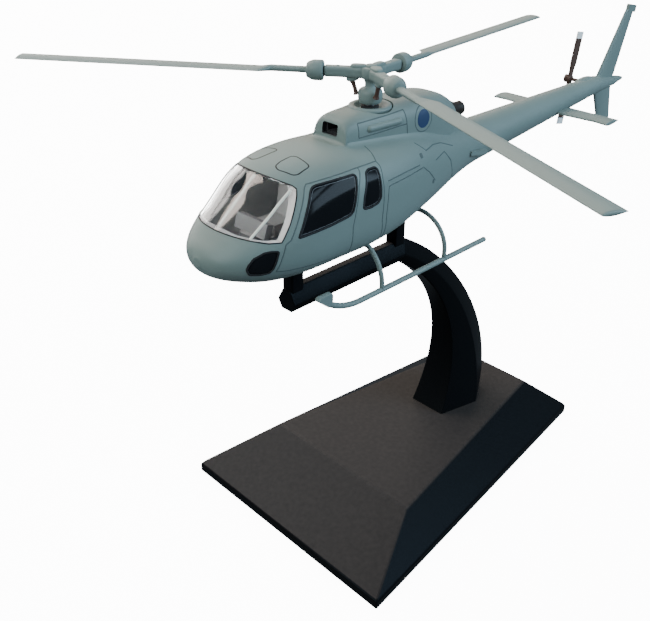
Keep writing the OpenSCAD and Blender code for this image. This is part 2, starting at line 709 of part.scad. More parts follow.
module strut_rear_starboard() mirror([1, 0, 0]) strut(strut_rear_y, strut_rear_z, 0, 0.85);
module skid() {
    toe_y = skid_bend_y - toe_bend_r * sin(toe_turn);
    toe_z = skid_z + toe_bend_r * (1 - cos(toe_turn));
    color(grey) aircraft() difference() {
        union() {
            along_y(skid_r, skid_bend_y, skid_end_y, skid_x, skid_z);
            translate([skid_x, skid_bend_y, skid_z + toe_bend_r]) rotate([0, 0, 90]) rotate([90, 0, 0])
                rotate_extrude(start = 270 - toe_turn, angle = toe_turn)
                    translate([toe_bend_r, 0]) circle(r = skid_r);
            hull() {
                along_x(skid_r - 0.2, skid_x - skid_r, skid_x + skid_r, toe_y - 2.7, toe_z + 1.85, $fn = 32);
                along_x(skid_r - 0.2, skid_x - skid_r, skid_x + skid_r, toe_y + 0.5, toe_z + 1.85, $fn = 32);
                along_x(skid_r, skid_x - skid_r, skid_x + skid_r, toe_y + 0.2, toe_z - 0.1, $fn = 32);
            }
        }
        for (y = [strut_front_y, strut_rear_y])
            translate([skid_x, y, skid_z - 0.2]) cylinder(h = 3, r = strut_pin_r + seat);
    }
}
module skid_port() skid();
module skid_starboard() mirror([1, 0, 0]) skid();

// Main rotor
clip_gap = 0.3;
clip_t = 0.6;
shaft_low_z = bush_low_z - clip_gap - clip_t - 0.5;
shaft_high_z = 0.45;
star_half_t = 0.45;
star_hw = 0.95;
star_reach = 8.4;
hub_boss_r = 1.8;
grip_in_x = hub_boss_r + 0.2;
grip_out_x = 9.8;
grip_end = 1.2;
grip_gap = 0.1;
grip_t = 0.55;
grip_hw = 1.1;
grip_root_hw = 1.3;
cuff_end_x = 13;
neck_hw = 0.9;
neck_depth = 2.4;
root_start_x = 20.4;
blade_start_x = 22;
blade_nose = 0.95;
bolt_x = [4, 6.8];
bolt_r = 0.4;
bolt_head_r = 0.7;
drum_low_z = -6.1;
drum_high_z = -3.2;
drum_r = 3;
module at_blade(i) at_mast() rotate([0, 0, blade_angle + 120 * i]) children();
module mast_shaft()
    color(steel) at_mast() translate([0, 0, shaft_low_z])
        cylinder(h = shaft_high_z - shaft_low_z, r = mast_r);
module mast_clip() {
    color(steel) at_mast() translate([0, 0, bush_low_z - clip_gap - clip_t]) difference() {
        cylinder(h = clip_t, r = bush_r);
        translate([0, 0, -1]) cylinder(h = clip_t + 2, r = mast_r + eps);
    }
}
module swash_drum() {
    in_r = mast_r + eps;
    color(grey) at_mast() rotate_extrude()
        polygon([
            [in_r, drum_low_z], [drum_r - 0.6, drum_low_z], [drum_r, drum_low_z + 0.8],
            [drum_r, drum_high_z - 0.8], [drum_r - 0.4, drum_high_z], [in_r, drum_high_z]
        ]);
}
link_r = 0.36;
link_ball_r = 0.5;
module pitch_links() {
    low = [drum_r + link_ball_r + seat, 0, drum_low_z + 1.4];
    high = [drum_r + 1.8, 0, -star_half_t - grip_gap - grip_t - seat - link_ball_r];
    rise = high - low;
    color(dark) for (i = [0:2]) at_blade(i) {
        translate(low) sphere(r = link_ball_r);
        translate(high) sphere(r = link_ball_r);
        translate(low) rotate([0, atan2(rise[0], rise[2]), 0]) cylinder(h = norm(rise), r = link_r);
    }
}
module hub_star() {
    color(grey) at_mast() difference() {
        union() {
            translate([0, 0, -star_half_t]) cylinder(h = 2 * star_half_t, r = 2.1);
            translate([0, 0, drum_high_z + seat]) cylinder(h = -drum_high_z - seat, r = hub_boss_r);
            for (i = [0:2]) rotate([0, 0, blade_angle + 120 * i])
                block([0, -star_hw, -star_half_t], [star_reach, star_hw, star_half_t]);
        }
        translate([0, 0, -5]) cylinder(h = 10, r = mast_r + eps);
        for (i = [0:2], x = bolt_x) rotate([0, 0, blade_angle + 120 * i])
            translate([x, 0, -2]) cylinder(h = 4, r = bolt_r + eps);
    }
}
module hub_screw()
    color(steel) at_mast() translate([0, 0, shaft_high_z + seat]) {
        cylinder(h = 0.8, r = 1.6, $fn = 6);
        cylinder(h = 1.3, r = 1);
    }
module grip_bolts() {
    reach = star_half_t + grip_gap + grip_t;
    color(steel) for (i = [0:2], x = bolt_x) at_blade(i) translate([x, 0, -reach]) {
        cylinder(h = 2 * reach, r = bolt_r);
        translate([0, 0, 2 * reach]) cylinder(h = 0.35, r = bolt_head_r);
    }
}
module blade_grip(i) {
    plate_z = star_half_t + grip_gap;
    color(grey) at_blade(i) difference() {
        union() {
            for (z = [plate_z, -plate_z - grip_t])
                translate([0, 0, z]) linear_extrude(grip_t)
                    polygon([[grip_in_x, -grip_hw], [grip_in_x + 1, -grip_root_hw], [grip_out_x, -grip_hw],
                             [grip_out_x, grip_hw], [grip_in_x + 1, grip_root_hw], [grip_in_x, grip_hw]]);
            block([grip_out_x - grip_end, -grip_hw, -plate_z - grip_t],
                  [grip_out_x, grip_hw, plate_z + grip_t]);
            along_x(cuff_r, grip_out_x - 0.2, cuff_end_x);
        }
        for (x = bolt_x) translate([x, 0, -5]) cylinder(h = 10, r = bolt_r + eps);
        block([cuff_end_x - neck_depth, -neck_hw - fit, -blade_t / 2 - fit],
              [cuff_end_x + 1, neck_hw + fit, blade_t / 2 + fit]);
    }
}
module blade_grip_1() blade_grip(0);
module blade_grip_2() blade_grip(1);
module blade_grip_3() blade_grip(2);
module main_blade(i) {
    tail = blade_chord - blade_nose;
    neck_x = cuff_end_x - neck_depth + fit;
    color(grey) at_blade(i) intersection() {
        translate([neck_x, 0, -blade_t]) linear_extrude(2 * blade_t)
            polygon([[0, -neck_hw], [root_start_x - neck_x, -neck_hw],
                     [blade_start_x - neck_x, -blade_nose - 0.1], [rotor_r - neck_x, -blade_nose - 0.1],
                     [rotor_r - neck_x, tail + 0.1], [blade_start_x + 0.6 - neck_x, tail + 0.1],
                     [root_start_x - neck_x, neck_hw], [0, neck_hw]]);
        translate([neck_x - 1, -blade_nose, 0]) rotate([90, 0, 90])
            linear_extrude(rotor_r) polygon(wing_section(blade_chord, blade_t));
    }
}
module main_blade_1() main_blade(0);
module main_blade_2() main_blade(1);
module main_blade_3() main_blade(2);

// Tail rotor on its shaft at the starboard side
tail_blade_x = -5.6;
tail_blade_hw = 0.5;
tail_cap_t = 0.8;
module at_tail() aircraft() translate([0, tail_shaft_y, tail_shaft_z]) children();
module tail_rotor_shaft()
    color(dark) at_tail() along_x(tail_shaft_r, tail_blade_x - tail_blade_hw, tail_bush_in_x - fit);
module tail_rotor_blades() {
    root_x = 1.6;
    color(dark) at_tail() translate([tail_blade_x, 0, 0]) rotate([-tail_lean, 0, 0]) difference() {
        union() {
            along_x(1.3, -tail_blade_hw, tail_blade_hw);
            for (turn = [0, 180]) rotate([turn, 0, 0]) {
                block([-0.4, -0.6, 0.6], [0.4, 0.6, root_x + 1]);
                translate([0, -tail_chord / 2, root_x]) rotate([0, 0, 90])
                    linear_extrude(tail_rotor_r - root_x) polygon(wing_section(tail_chord, 0.7));
            }
        }
        along_x(tail_shaft_r + eps, -5, 5);
    }
}
module tail_rotor_cap() {
    inner_x = tail_blade_x - tail_blade_hw - seat;
    color(dark) at_tail() along_x(1.1, inner_x - tail_cap_t, inner_x);
}

plinth();
plinth_cover();
arm_screws();
stand_arm();
cradle_bar();
cabin_shell();
belly_pan();
belly_screw();
windscreen();
door_window_port();
rear_window_port();
chin_window_port();
door_window_starboard();
rear_window_starboard();
chin_window_starboard();
cabin_floor();
pilot_seat();
copilot_seat();
rear_bench();
cabin_bulkhead();
instrument_console();
engine_cowl();
intake_duct();
exhaust_nozzle();
mast_collar();
mast_bush();
tail_boom();
stabiliser();
tail_fin();
tail_cone();
tail_bush();
side_step();
strut_front_port();
strut_rear_port();
strut_front_starboard();
strut_rear_starboard();
skid_port();
skid_starboard();
mast_shaft();
mast_clip();
swash_drum();
pitch_links();
hub_star();
hub_screw();
grip_bolts();
blade_grip_1();
blade_grip_2();
blade_grip_3();
main_blade_1();
main_blade_2();
main_blade_3();
tail_rotor_shaft();
tail_rotor_blades();
tail_rotor_cap();
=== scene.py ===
import math
import bpy
import numpy as np
from mathutils import Matrix


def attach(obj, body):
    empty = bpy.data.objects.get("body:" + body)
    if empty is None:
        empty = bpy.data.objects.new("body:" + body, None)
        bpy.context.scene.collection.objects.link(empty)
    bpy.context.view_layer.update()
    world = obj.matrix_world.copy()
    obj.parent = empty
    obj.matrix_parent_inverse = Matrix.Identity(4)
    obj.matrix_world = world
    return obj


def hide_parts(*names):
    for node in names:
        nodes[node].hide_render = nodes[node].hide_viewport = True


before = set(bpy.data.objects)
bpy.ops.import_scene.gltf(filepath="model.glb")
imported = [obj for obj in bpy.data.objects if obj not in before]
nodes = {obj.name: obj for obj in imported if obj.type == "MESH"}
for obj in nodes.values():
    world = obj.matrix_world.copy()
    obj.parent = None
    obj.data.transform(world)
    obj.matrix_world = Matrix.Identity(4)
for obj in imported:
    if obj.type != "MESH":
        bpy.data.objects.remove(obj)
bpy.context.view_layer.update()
mm = 0.001
datum = np.array([0.0, -22.0, 108.5])  # aircraft pieces are drawn from here, y aft and z up
mastY = 1.4  # the mast stands this far aft of it
weldReach = 2e-7  # points nearer than this are one point, in metres
across = 20  # cutters reach this far to either side
sides = ((1, "Port"), (-1, "Starboard"))
up = np.array([0.0, 0.0, 1.0])
print("frame loaded:", len(nodes), "nodes")


def circle(n):
    return np.linspace(0, 2 * math.pi, n, endpoint=False)


# Rows of directions at length 1.
def unit(v):
    return v / np.linalg.norm(v, axis=-1, keepdims=True)


# A quadratic curve from a to c that leans towards b.
def quadCurve(a, b, c, t):
    return (1 - t) ** 2 * a + 2 * t * (1 - t) * b + t ** 2 * c


# Full at share 0, closing as a quarter circle down to a least value at share 1.
def quarterRound(share, least):
    return np.sqrt(np.clip(1 - np.clip(share, 0, 1) ** 2, least, 1))


# Quads of a grid of nu by nv points; wrapU or wrapV joins the last row or column to the first.
def gridQuads(nu, nv, wrapU=False, wrapV=False):
    rows, columns = np.arange(nu if wrapU else nu - 1), np.arange(nv if wrapV else nv - 1)
    i, j = (k.ravel() for k in np.meshgrid(rows, columns, indexing="ij"))
    ii, jj = (i + 1) % nu, (j + 1) % nv
    return np.stack([i * nv + j, ii * nv + j, ii * nv + jj, i * nv + jj], 1)


# A mesh object from points in millimetres; edges sharper than the angle stay crisp.
def makePiece(name, points, faces, sharp=32):
    mesh = bpy.data.meshes.new(name)
    mesh.from_pydata((np.asarray(points) * mm).tolist(), [], [list(map(int, f)) for f in faces])
    mesh.validate()
    piece = bpy.data.objects.new(name, mesh)
    bpy.context.scene.collection.objects.link(piece)
    return finishMesh(piece, sharp)


def finishMesh(piece, sharp=32):
    bpy.context.view_layer.objects.active = piece
    bpy.ops.object.select_all(action="DESELECT")
    piece.select_set(True)
    bpy.ops.object.mode_set(mode="EDIT")
    bpy.ops.mesh.select_all(action="SELECT")
    bpy.ops.mesh.remove_doubles(threshold=weldReach)
    bpy.ops.mesh.normals_make_consistent(inside=False)
    bpy.ops.object.mode_set(mode="OBJECT")
    piece.data.polygons.foreach_set("use_smooth", np.ones(len(piece.data.polygons), bool))
    piece.data.set_sharp_from_angle(angle=math.radians(sharp))
    return piece


# A closed tube of rings: the grid runs round the ring, and each open end gets one flat face.
def ringPiece(name, grid, sharp=32):
    nu, nv = grid.shape[:2]
    faces = gridQuads(nu, nv, wrapV=True).tolist()
    faces += [list(range(nv))[::-1], [(nu - 1) * nv + k for k in range(nv)]]
    return makePiece(name, grid.reshape(-1, 3), faces, sharp)


# A profile of (radius, height) pairs turned round an axis line from a point along a direction.
def turnedGrid(profile, at, along, segments=64):
    d = np.asarray(along, float) / np.linalg.norm(along)
    side = np.cross(d, [0.0, 0.0, 1.0] if abs(d[2]) < 0.9 else [1.0, 0.0, 0.0])
    side /= np.linalg.norm(side)
    other = np.cross(d, side)
    turn = circle(segments)
    rim = np.cos(turn)[:, None] * side + np.sin(turn)[:, None] * other
    profile = np.asarray(profile, float)
    return np.asarray(at) + profile[:, 0, None, None] * rim[None] + profile[:, 1, None, None] * d


def turnedPiece(name, profile, at, along, segments=64, sharp=32):
    return ringPiece(name, turnedGrid(profile, at, along, segments), sharp)


# Corners of a closed outline replaced by small curves that start a set distance from the corner.
def rounded(outline, reach, n=6, most=0.45):
    p = np.asarray(outline, float)
    ends = []
    for step in (1, -1):
        way = np.roll(p, step, 0) - p
        long = np.linalg.norm(way, axis=1)
        ends.append(p + way * (np.minimum(reach, most * long) / long)[:, None])
    t = np.linspace(0, 1, n)[None, :, None]
    return quadCurve(ends[0][:, None], p[:, None], ends[1][:, None], t).reshape(-1, p.shape[1])


# Distance run at each point of a line.
def runLength(p):
    return np.concatenate([[0], np.cumsum(np.linalg.norm(np.diff(p, axis=0), axis=1))])


def pointsAt(p, s):
    d = runLength(p)
    return np.stack([np.interp(s, d, p[:, k]) for k in range(p.shape[1])], 1)


# Points at even spacing along a closed outline, or along an open run.
def evenly(outline, n):
    p = np.vstack([outline, outline[:1]])
    return pointsAt(p, np.linspace(0, runLength(p)[-1], n, endpoint=False))


def alongRun(run, step=0.35):
    run = np.asarray(run, float)
    whole = runLength(run)[-1]
    return pointsAt(run, np.linspace(0, whole, max(4, int(whole / step))))


# A side-view outline (y, z) drawn across the aircraft as a cutter.
def sidePrism(name, outline, fromX=-across, toX=across):
    p = np.asarray(outline, float)
    ring = [np.column_stack([np.full(len(p), x), p]) + datum for x in (fromX, toX)]
    return ringPiece(name, np.stack(ring))


# A round tube along a path that lies in one plane: rings square to the path, with their own radius.
def tubeGrid(path, radius, planeNormal, around=24):
    t = unit(np.gradient(path, axis=0))
    b = np.broadcast_to(np.asarray(planeNormal, float), t.shape)
    n = np.cross(t, b)
    a = circle(around)[None, :, None]
    r = np.broadcast_to(radius, len(path))[:, None, None]
    return path[:, None] + r * (np.cos(a) * n[:, None] + np.sin(a) * b[:, None])


# Radius share that rounds off the end of a tube over a set run, and its start too.
def roundEnds(path, run, startToo=True):
    d = runLength(path)
    near = np.minimum(d, d[-1] - d) if startToo else d[-1] - d
    return quarterRound(1 - near / run, 0.0025)


# A rounded square post: one ring per height with its own half width, standing on one y.
def postPiece(name, y, rings, corner=0.25):
    square = rounded([(-1, -1), (1, -1), (1, 1), (-1, 1)], corner, 5)
    grid = [np.column_stack([square * half, np.full(len(square), z)]) for z, half in rings]
    return ringPiece(name, np.stack(grid) + datum + [0, y, 0], 40)


# A side-view outline given thickness across the aircraft, with its rim drawn in at both faces.
def platePiece(name, outline, middleX, half, rim=0.12):
    p = np.asarray(outline, float)
    mid = p.mean(0)
    size = np.linalg.norm(p - mid, axis=1).max()
    rows = [(-half, 1 - rim / size), (rim - half, 1), (half - rim, 1), (half, 1 - rim / size)]
    grid = [np.column_stack([np.full(len(p), middleX + x), mid + (p - mid) * k]) for x, k in rows]
    return ringPiece(name, np.stack(grid) + datum, 40)


# Cuts, keeps or joins with another piece, keeps the result as plain mesh and drops the other piece.
def cutWith(piece, other, how="DIFFERENCE", sharp=32):
    tool = piece.modifiers.new("cut", "BOOLEAN")
    tool.object, tool.operation, tool.solver = other, how, "EXACT"
    solved = piece.evaluated_get(bpy.context.evaluated_depsgraph_get())
    solid = bpy.data.meshes.new_from_object(solved)
    piece.modifiers.clear()
    piece.data = solid
    bpy.data.objects.remove(other)
    return finishMesh(piece, sharp)


# Rides on a body, takes a finish, and stands in for the CAD nodes named.
def dress(piece, body, finish, *stands):
    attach(piece, body)
    if stands:
        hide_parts(*stands)
    piece.data.materials.clear()
    piece.data.materials.append(paint[finish])
    return piece


def bodyPiece(name, grid, sharp, *stands, body="airframe"):
    return dress(ringPiece(name, grid, sharp), body, "bodyPaint", *stands)


# Three values per face: its middle or its outward direction.
def faceValues(piece, what):
    values = np.empty(len(piece.data.polygons) * 3)
    piece.data.polygons.foreach_get(what, values)
    return values.reshape(-1, 3)


# Chosen faces of a dressed piece take a second finish.
def secondFinish(piece, finish, chosen):
    piece.data.materials.append(paint[finish])
    piece.data.polygons.foreach_set("material_index", chosen.astype(np.int32))


# Joins (node, output, node, input) rows.
def wire(tree, *rows):
    for a, given, b, taken in rows:
        tree.links.new(a.outputs[given], b.inputs[taken])


def preset(node, values):
    for socket, value in values.items():
        node.inputs[socket].default_value = value


def newGroup(name, inputs, outputs):
    group = bpy.data.node_groups.new(name, "ShaderNodeTree")
    for way, labels in (("INPUT", inputs), ("OUTPUT", outputs)):
        for label in labels:
            group.interface.new_socket(label, in_out=way, socket_type="NodeSocketFloat")
    return group, group.nodes.new("NodeGroupInput"), group.nodes.new("NodeGroupOutput")


# Fine skin of a surface: a cloudy mask for tone, and a height of small grain.
def buildGrain():
    group, given, out = newGroup("surfaceGrain", ["cloudSize", "grainSize"], ["cloud", "grain"])
    place = group.nodes.new("ShaderNodeTexCoord")
    for label, detail in (("cloud", 5.0), ("grain", 2.0)):
        noise = group.nodes.new("ShaderNodeTexNoise")
        preset(noise, {"Detail": detail})
        wire(group, (place, "Object", noise, "Vector"), (given, label + "Size", noise, "Scale"),
             (noise, "Fac", out, label))
    return group


dustAndSheenSet = dict(scale=900.0, detail=6.0, spotGain=0.6, spotLeast=0.7)


# A veil on faces that look up by more than a set share, broken by noise: dust, and on the stand also a
# painted sheen.
def buildDustAndSheen():
    group, given, out = newGroup("dustAndSheenVeil", ["amount", "start", "full"], ["dust"])
    kinds = ["NewGeometry", "SeparateXYZ", "TexCoord", "TexNoise", "MapRange", "Math", "Math", "Math"]
    shape, split, place, noise, rise, upward, much, spot = (group.nodes.new("ShaderNode" + k) for k in kinds)
    upward.operation = much.operation = "MULTIPLY"
    spot.operation = "MULTIPLY_ADD"
    preset(noise, {"Scale": dustAndSheenSet["scale"], "Detail": dustAndSheenSet["detail"]})
    preset(spot, {1: dustAndSheenSet["spotGain"], 2: dustAndSheenSet["spotLeast"]})
    wire(group, (shape, "Normal", split, 0), (split, "Z", rise, "Value"), (given, "start", rise, "From Min"),
         (given, "full", rise, "From Max"), (rise, 0, upward, 0), (given, "amount", upward, 1),
         (place, "Object", noise, "Vector"), (noise, "Fac", spot, 0), (upward, 0, much, 0),
         (spot, 0, much, 1), (much, 0, out, "dust"))
    return group


grainGroup, dustAndSheenGroup = buildGrain(), buildDustAndSheen()
mixA, mixB, mixed = 6, 7, 2  # sockets of a mix node that carry colours


# One finish: two close tones by the cloud mask, roughness that varies with it, grain as bump, and the
# up-facing veil of dust and painted sheen.
def finishMaterial(name, look):
    material = bpy.data.materials.new(name)
    material.use_nodes = True
    tree = material.node_tree
    shader = tree.nodes["Principled BSDF"]
    kinds = ["Group", "Group", "Mix", "Mix", "MapRange", "Bump"]
    grain, dust, tone, veil, rough, bump = (tree.nodes.new("ShaderNode" + k) for k in kinds)
    grain.node_tree, dust.node_tree = grainGroup, dustAndSheenGroup
    tone.data_type = veil.data_type = "RGBA"
    preset(grain, {"cloudSize": look["cloudSize"], "grainSize": look["grainSize"]})
    preset(dust, dict(zip(("amount", "start", "full"), (look["dust"], *look["dustRange"]))))
    preset(tone, {mixA: (*look["dark"], 1), mixB: (*look["light"], 1)})
    preset(veil, {mixB: (*look["dustTone"], 1)})
    preset(rough, dict(zip(("To Min", "To Max"), look["rough"])))
    preset(bump, {"Strength": look["bump"], "Distance": look["bumpDepth"]})
    preset(shader, look["fixed"])
    wire(tree, (grain, "cloud", tone, 0), (tone, mixed, veil, mixA), (dust, "dust", veil, 0),
         (veil, mixed, shader, "Base Color"), (grain, "cloud", rough, "Value"),
         (rough, 0, shader, "Roughness"), (grain, "grain", bump, "Height"),
         (bump, "Normal", shader, "Normal"))
    return material


plainLook = dict(cloudSize=60.0, grainSize=2500.0, bumpDepth=0.00005, dustTone=(0.45, 0.45, 0.43),
                 dustRange=(0.0, 1.0))


# Settings of a finish; slot is its name in the part's record, fixed holds other inputs of the shader.
def tones(slot, dark, light, rough, bump, dust, ior=1.5, fixed={}, **more):
    look = dict(plainLook, slot=slot, dark=dark, light=light, rough=rough, bump=bump, dust=dust)
    return {**look, **more, "fixed": {"IOR": ior, **fixed}}


finishes = dict(
    bodyPaint=tones("body_paint", (0.136, 0.18, 0.168), (0.164, 0.21, 0.196), (0.42, 0.56), 0.06, 0.03, 1.35,
                    cloudSize=45, dustTone=(0.5, 0.5, 0.46)),
    # Stand plastic: the brownish up-facing veil is dust and a painted sheen of warm light on the plinth top,
    # and the bluish specular tint paints a blue cast into its reflections.
    standPlastic=tones("stand_plastic", (0.0026, 0.0028, 0.0033), (0.0044, 0.0046, 0.0052), (0.36, 0.48),
                       0.1, 0.088, 1.12, {"Specular Tint": (0.68, 0.86, 1.0, 1.0)}, cloudSize=30,
                       grainSize=3200, dustTone=(0.3, 0.258, 0.24), dustRange=(0.8, 0.95)),
    windscreenGlass=tones("clear_pane", (0.93, 0.95, 0.96), (0.98, 0.985, 0.99), (0.0, 0.02), 0.004, 0.004,
                          1.45, {"Transmission Weight": 1.0}),
    # Opaque near-black panes: for the chin their own black, for the door and rear partly the dark tint and
    # partly painted shade of the dim cabin behind.
    sideGlass=tones("dark_pane", (0.004, 0.0045, 0.0055), (0.008, 0.0085, 0.01), (0.08, 0.16), 0.004, 0.002,
                    1.15),
    blackMoulding=tones(None, (0.014, 0.014, 0.015), (0.03, 0.03, 0.032), (0.5, 0.68), 0.2, 0.01, 1.35),
    cabinLining=tones(None, (0.28, 0.265, 0.255), (0.42, 0.4, 0.385), (0.6, 0.75), 0.1, 0.0, 1.4),
    cabinTrim=tones(None, (0.11, 0.106, 0.104), (0.2, 0.193, 0.19), (0.55, 0.7), 0.15, 0.0, 1.4),
    seatMoulding=tones(None, (0.24, 0.22, 0.21), (0.42, 0.385, 0.37), (0.55, 0.72), 0.25, 0.01, 1.4),
    brownMoulding=tones("brown_plastic", (0.05, 0.027, 0.02), (0.09, 0.05, 0.037), (0.4, 0.55), 0.12, 0.012,
                        1.35),
    sootBrown=tones("brown_plastic", (0.012, 0.0095, 0.008), (0.026, 0.02, 0.0165), (0.45, 0.65), 0.2, 0.006,
                    1.3, cloudSize=120),
    steel=tones(None, (0.46, 0.47, 0.49), (0.62, 0.63, 0.65), (0.24, 0.4), 0.08, 0.02,
                fixed={"Metallic": 1.0}, cloudSize=200),
    # Pale opaque finish of the screen ribs: a painted highlight for the bright streak along the glass's bend.
    paintedHighlightRib=tones("clear_pane", (0.62, 0.62, 0.53), (0.84, 0.84, 0.74), (0.08, 0.16), 0.01, 0.0,
                   fixed={"Coat Weight": 0.6, "Coat Roughness": 0.05}),
    # Grey finish of the beads just inside the side panes: a painted highlight along the panes' edges.
    paneEdgeHighlight=tones("dark_pane", (0.035, 0.038, 0.041), (0.075, 0.079, 0.083), (0.12, 0.2), 0.01, 0.0, 1.4),
    tipWhite=tones(None, (0.82, 0.82, 0.81), (0.9, 0.9, 0.89), (0.35, 0.5), 0.05, 0.01, 1.4),
    discInk=tones("black_plastic", (0.012, 0.03, 0.075), (0.02, 0.045, 0.11), (0.45, 0.6), 0.02, 0.004, 1.35),
    # Near-black of the seals, also used as painted shade in the gap at each blade cuff.
    sealRubberAndGapShade=tones("black_plastic", (0.009, 0.009, 0.01), (0.017, 0.017, 0.018), (0.5, 0.7), 0.1, 0.004,
                     1.3),
    lineInk=tones("black_plastic", (0.058, 0.08, 0.078), (0.086, 0.112, 0.108), (0.55, 0.7), 0.02, 0.004,
                  1.35))
paint = {name: finishMaterial(name, look) for name, look in finishes.items()}
print("finishes made:", len(paint))


# Stations: y, half width, top, bottom, widest height, upper and lower roundness of a superellipse.
cabin = dict(
    rows=[[-44, 1.2, -25.7, -27.8, -26.8, 2, 2], [-43, 4.5, -24.2, -29.3, -26.6, 2.1, 2.1],
          [-41, 7.1, -22.4, -30.6, -26.1, 2, 2.2], [-38, 9.4, -19.7, -31.7, -25.4, 1.85, 2.4],
          [-34, 11.2, -16.4, -32.7, -24.6, 1.9, 2.6], [-29.5, 12.3, -12.6, -33.1, -24, 2.05, 2.8],
          [-24, 12.8, -11.2, -33.2, -23.6, 2.5, 3], [-16, 13, -11.1, -33.2, -23.4, 3, 3],
          [-8, 13, -11.6, -33.2, -23.2, 3.2, 3], [0, 12.4, -11.9, -32.8, -22.6, 3.2, 2.9],
          [8, 11.1, -12.2, -32, -22.1, 2.9, 2.6], [16, 9.3, -13.2, -30.8, -22, 2.5, 2.4],
          [24, 7.4, -14.8, -29.2, -22, 2.3, 2.2], [31, 5.9, -16.2, -28, -22.1, 2.1, 2.1],
          [36, 5.2, -17, -27.4, -22.2, 2, 2]],
    wall=1.4, ringPoints=144, steps=8, fineSteps=40, cavity=(-38, 8), domeRings=6, domeReach=0.1,
    split=[(-34, -45), (22, -45), (22, -27.6), (7, -27.6), (4, -30), (-34, -30)], splitGap=0.06)
# Outlines in side view; seal, rim, post and rib are (high, wide), and ribRun is the rib's line as (x, y).
windows = dict(
    screen=[(-50, -21), (-40, -21.3), (-35.2, -22.3), (-33, -22.4), (-30.9, -19.8), (-28.9, -17),
            (-27.6, -15.2), (-27.1, -14.4), (-27.4, -13.9), (-28.4, -13.4), (-29.3, -12.95),
            (-29.9, -12.6), (-29.9, -8), (-50, -8)],
    door=[(-29.8, -22.25), (-27.4, -18.3), (-25.2, -15.15), (-24.4, -14.45), (-23.3, -14.25),
          (-18.9, -14.18), (-14.5, -14.2), (-14.1, -14.6), (-15.4, -18.4), (-16.2, -20.75),
          (-17.2, -21.35), (-21.9, -21.85)],
    rear=[(-13.6, -20.85), (-13.3, -18.8), (-11.5, -14.6), (-10.5, -14.22), (-8.5, -14.28),
          (-8.1, -14.8), (-8.3, -18.3), (-8.45, -20.1), (-9.3, -20.95), (-11.2, -21.3), (-12.9, -21.2)],
    chin=[(-39.3, -26.8), (-39, -25.8), (-38.2, -24.7), (-36.3, -23.8), (-35, -23.7), (-33.8, -23.9),
          (-34.2, -25.4), (-34.8, -27.4), (-35.4, -28.2), (-36.9, -28.3), (-38.7, -28)],
    corner=0.35, cutFrom=5, shrink=0.05 / 3, sink=0.1, thick=0.6, seal=(0.1, 0.2), rimInset=0.36,
    rim=(0.04, 0.07), screenFoot=(-39.9, -21.3), screenHead=(-29.85, -12.72), screenGap=0.3,
    screenReach=(-43.9, -22.0), screenSeal=(0.07, 0.13), postRun=(-39.4, -29.9), postSink=0.95,
    post=(0.25, 0.32), rib=(0.13, 0.27),
    ribRun=[(8.2, -28.2), (8.2, -30.1), (8, -32.9), (7.7, -35.2), (7.45, -37.4)])


# Rows between stations on a Catmull-Rom curve, so the skin has no kinks.
def smoothRows(rows, steps):
    p = np.asarray(rows, float)
    q = np.vstack([p[:1], p, p[-1:]])
    t = (np.arange(steps) / steps)[None, :, None]
    a, b, c, d = (q[k:len(p) - 1 + k][:, None] for k in range(4))
    body = 0.5 * (2 * b + (c - a) * t + (2 * a - 5 * b + 4 * c - d) * t ** 2
                  + (3 * b - a - 3 * c + d) * t ** 3)
    return np.vstack([body.reshape(-1, p.shape[1]), p[-1:]])


# Rings by true polar angle: radius = (|cos/width|^p + |sin/height|^p)^(-1/p), own p above and below.
def ringGrid(rows, count, inset=0.0):
    turn = circle(count)[None]
    c, s = np.cos(turn), np.sin(turn)
    y, w, top, low, mid, up, down = (rows[:, k, None] for k in range(7))
    h = np.where(s >= 0, top - mid, mid - low) - inset
    p = np.where(s >= 0, up, down)
    r = (np.abs(c / (w - inset)) ** p + np.abs(s / h) ** p) ** (-1 / p)
    return np.stack([r * c, np.broadcast_to(y, r.shape), mid + r * s], -1) + datum


cabinRows = smoothRows(cabin["rows"], cabin["steps"])
fineRows = smoothRows(cabin["rows"], cabin["fineSteps"])


def rowAt(y, rows=fineRows):
    return [np.interp(y, rows[:, 0], rows[:, k]) for k in range(7)]


# How far along x or z the skin is, from the superellipse solved for one coordinate.
def skinX(y, z, rows=fineRows):
    _, w, top, low, mid, up, down = rowAt(y, rows)
    h, p = np.where(z >= mid, top - mid, mid - low), np.where(z >= mid, up, down)
    return w * np.clip(1 - np.abs((z - mid) / h) ** p, 0, None) ** (1 / p)


def skinZ(x, y, rows=fineRows):
    _, w, top, _, mid, up, _ = rowAt(y, rows)
    return mid + (top - mid) * np.clip(1 - np.abs(x / w) ** up, 0, None) ** (1 / up)


# Side-view points (y, z) or top-view points (x, y) carried onto the skin.
def onSide(q, side=1, rows=fineRows):
    return np.stack([side * skinX(q[..., 0], q[..., 1], rows), q[..., 0], q[..., 1]], -1)


def onRoof(q, side=1):
    return np.stack([side * q[..., 0], q[..., 1], skinZ(q[..., 0], q[..., 1])], -1)


# 1 on the skin and less inside it, with the smaller half size of the ring at that point.
def skinLevel(q, rows=fineRows):
    _, w, top, low, mid, above, below = rowAt(q[..., 1], rows)
    high = q[..., 2] >= mid
    h, e = np.where(high, top - mid, mid - low), np.where(high, above, below)
    level = (np.abs(q[..., 0] / w) ** e + np.abs((q[..., 2] - mid) / h) ** e) ** (1 / e)
    return level, np.minimum(w, h)


# Outward direction of the skin: the level's slope at each point, by central differences.
def skinNormal(p, rows=fineRows, reach=0.02):
    step = reach * np.eye(3)
    n = np.stack([skinLevel(p + step[k], rows)[0] - skinLevel(p - step[k], rows)[0] for k in range(3)], -1)
    return n / np.maximum(np.linalg.norm(n, axis=-1, keepdims=True), 1e-9)


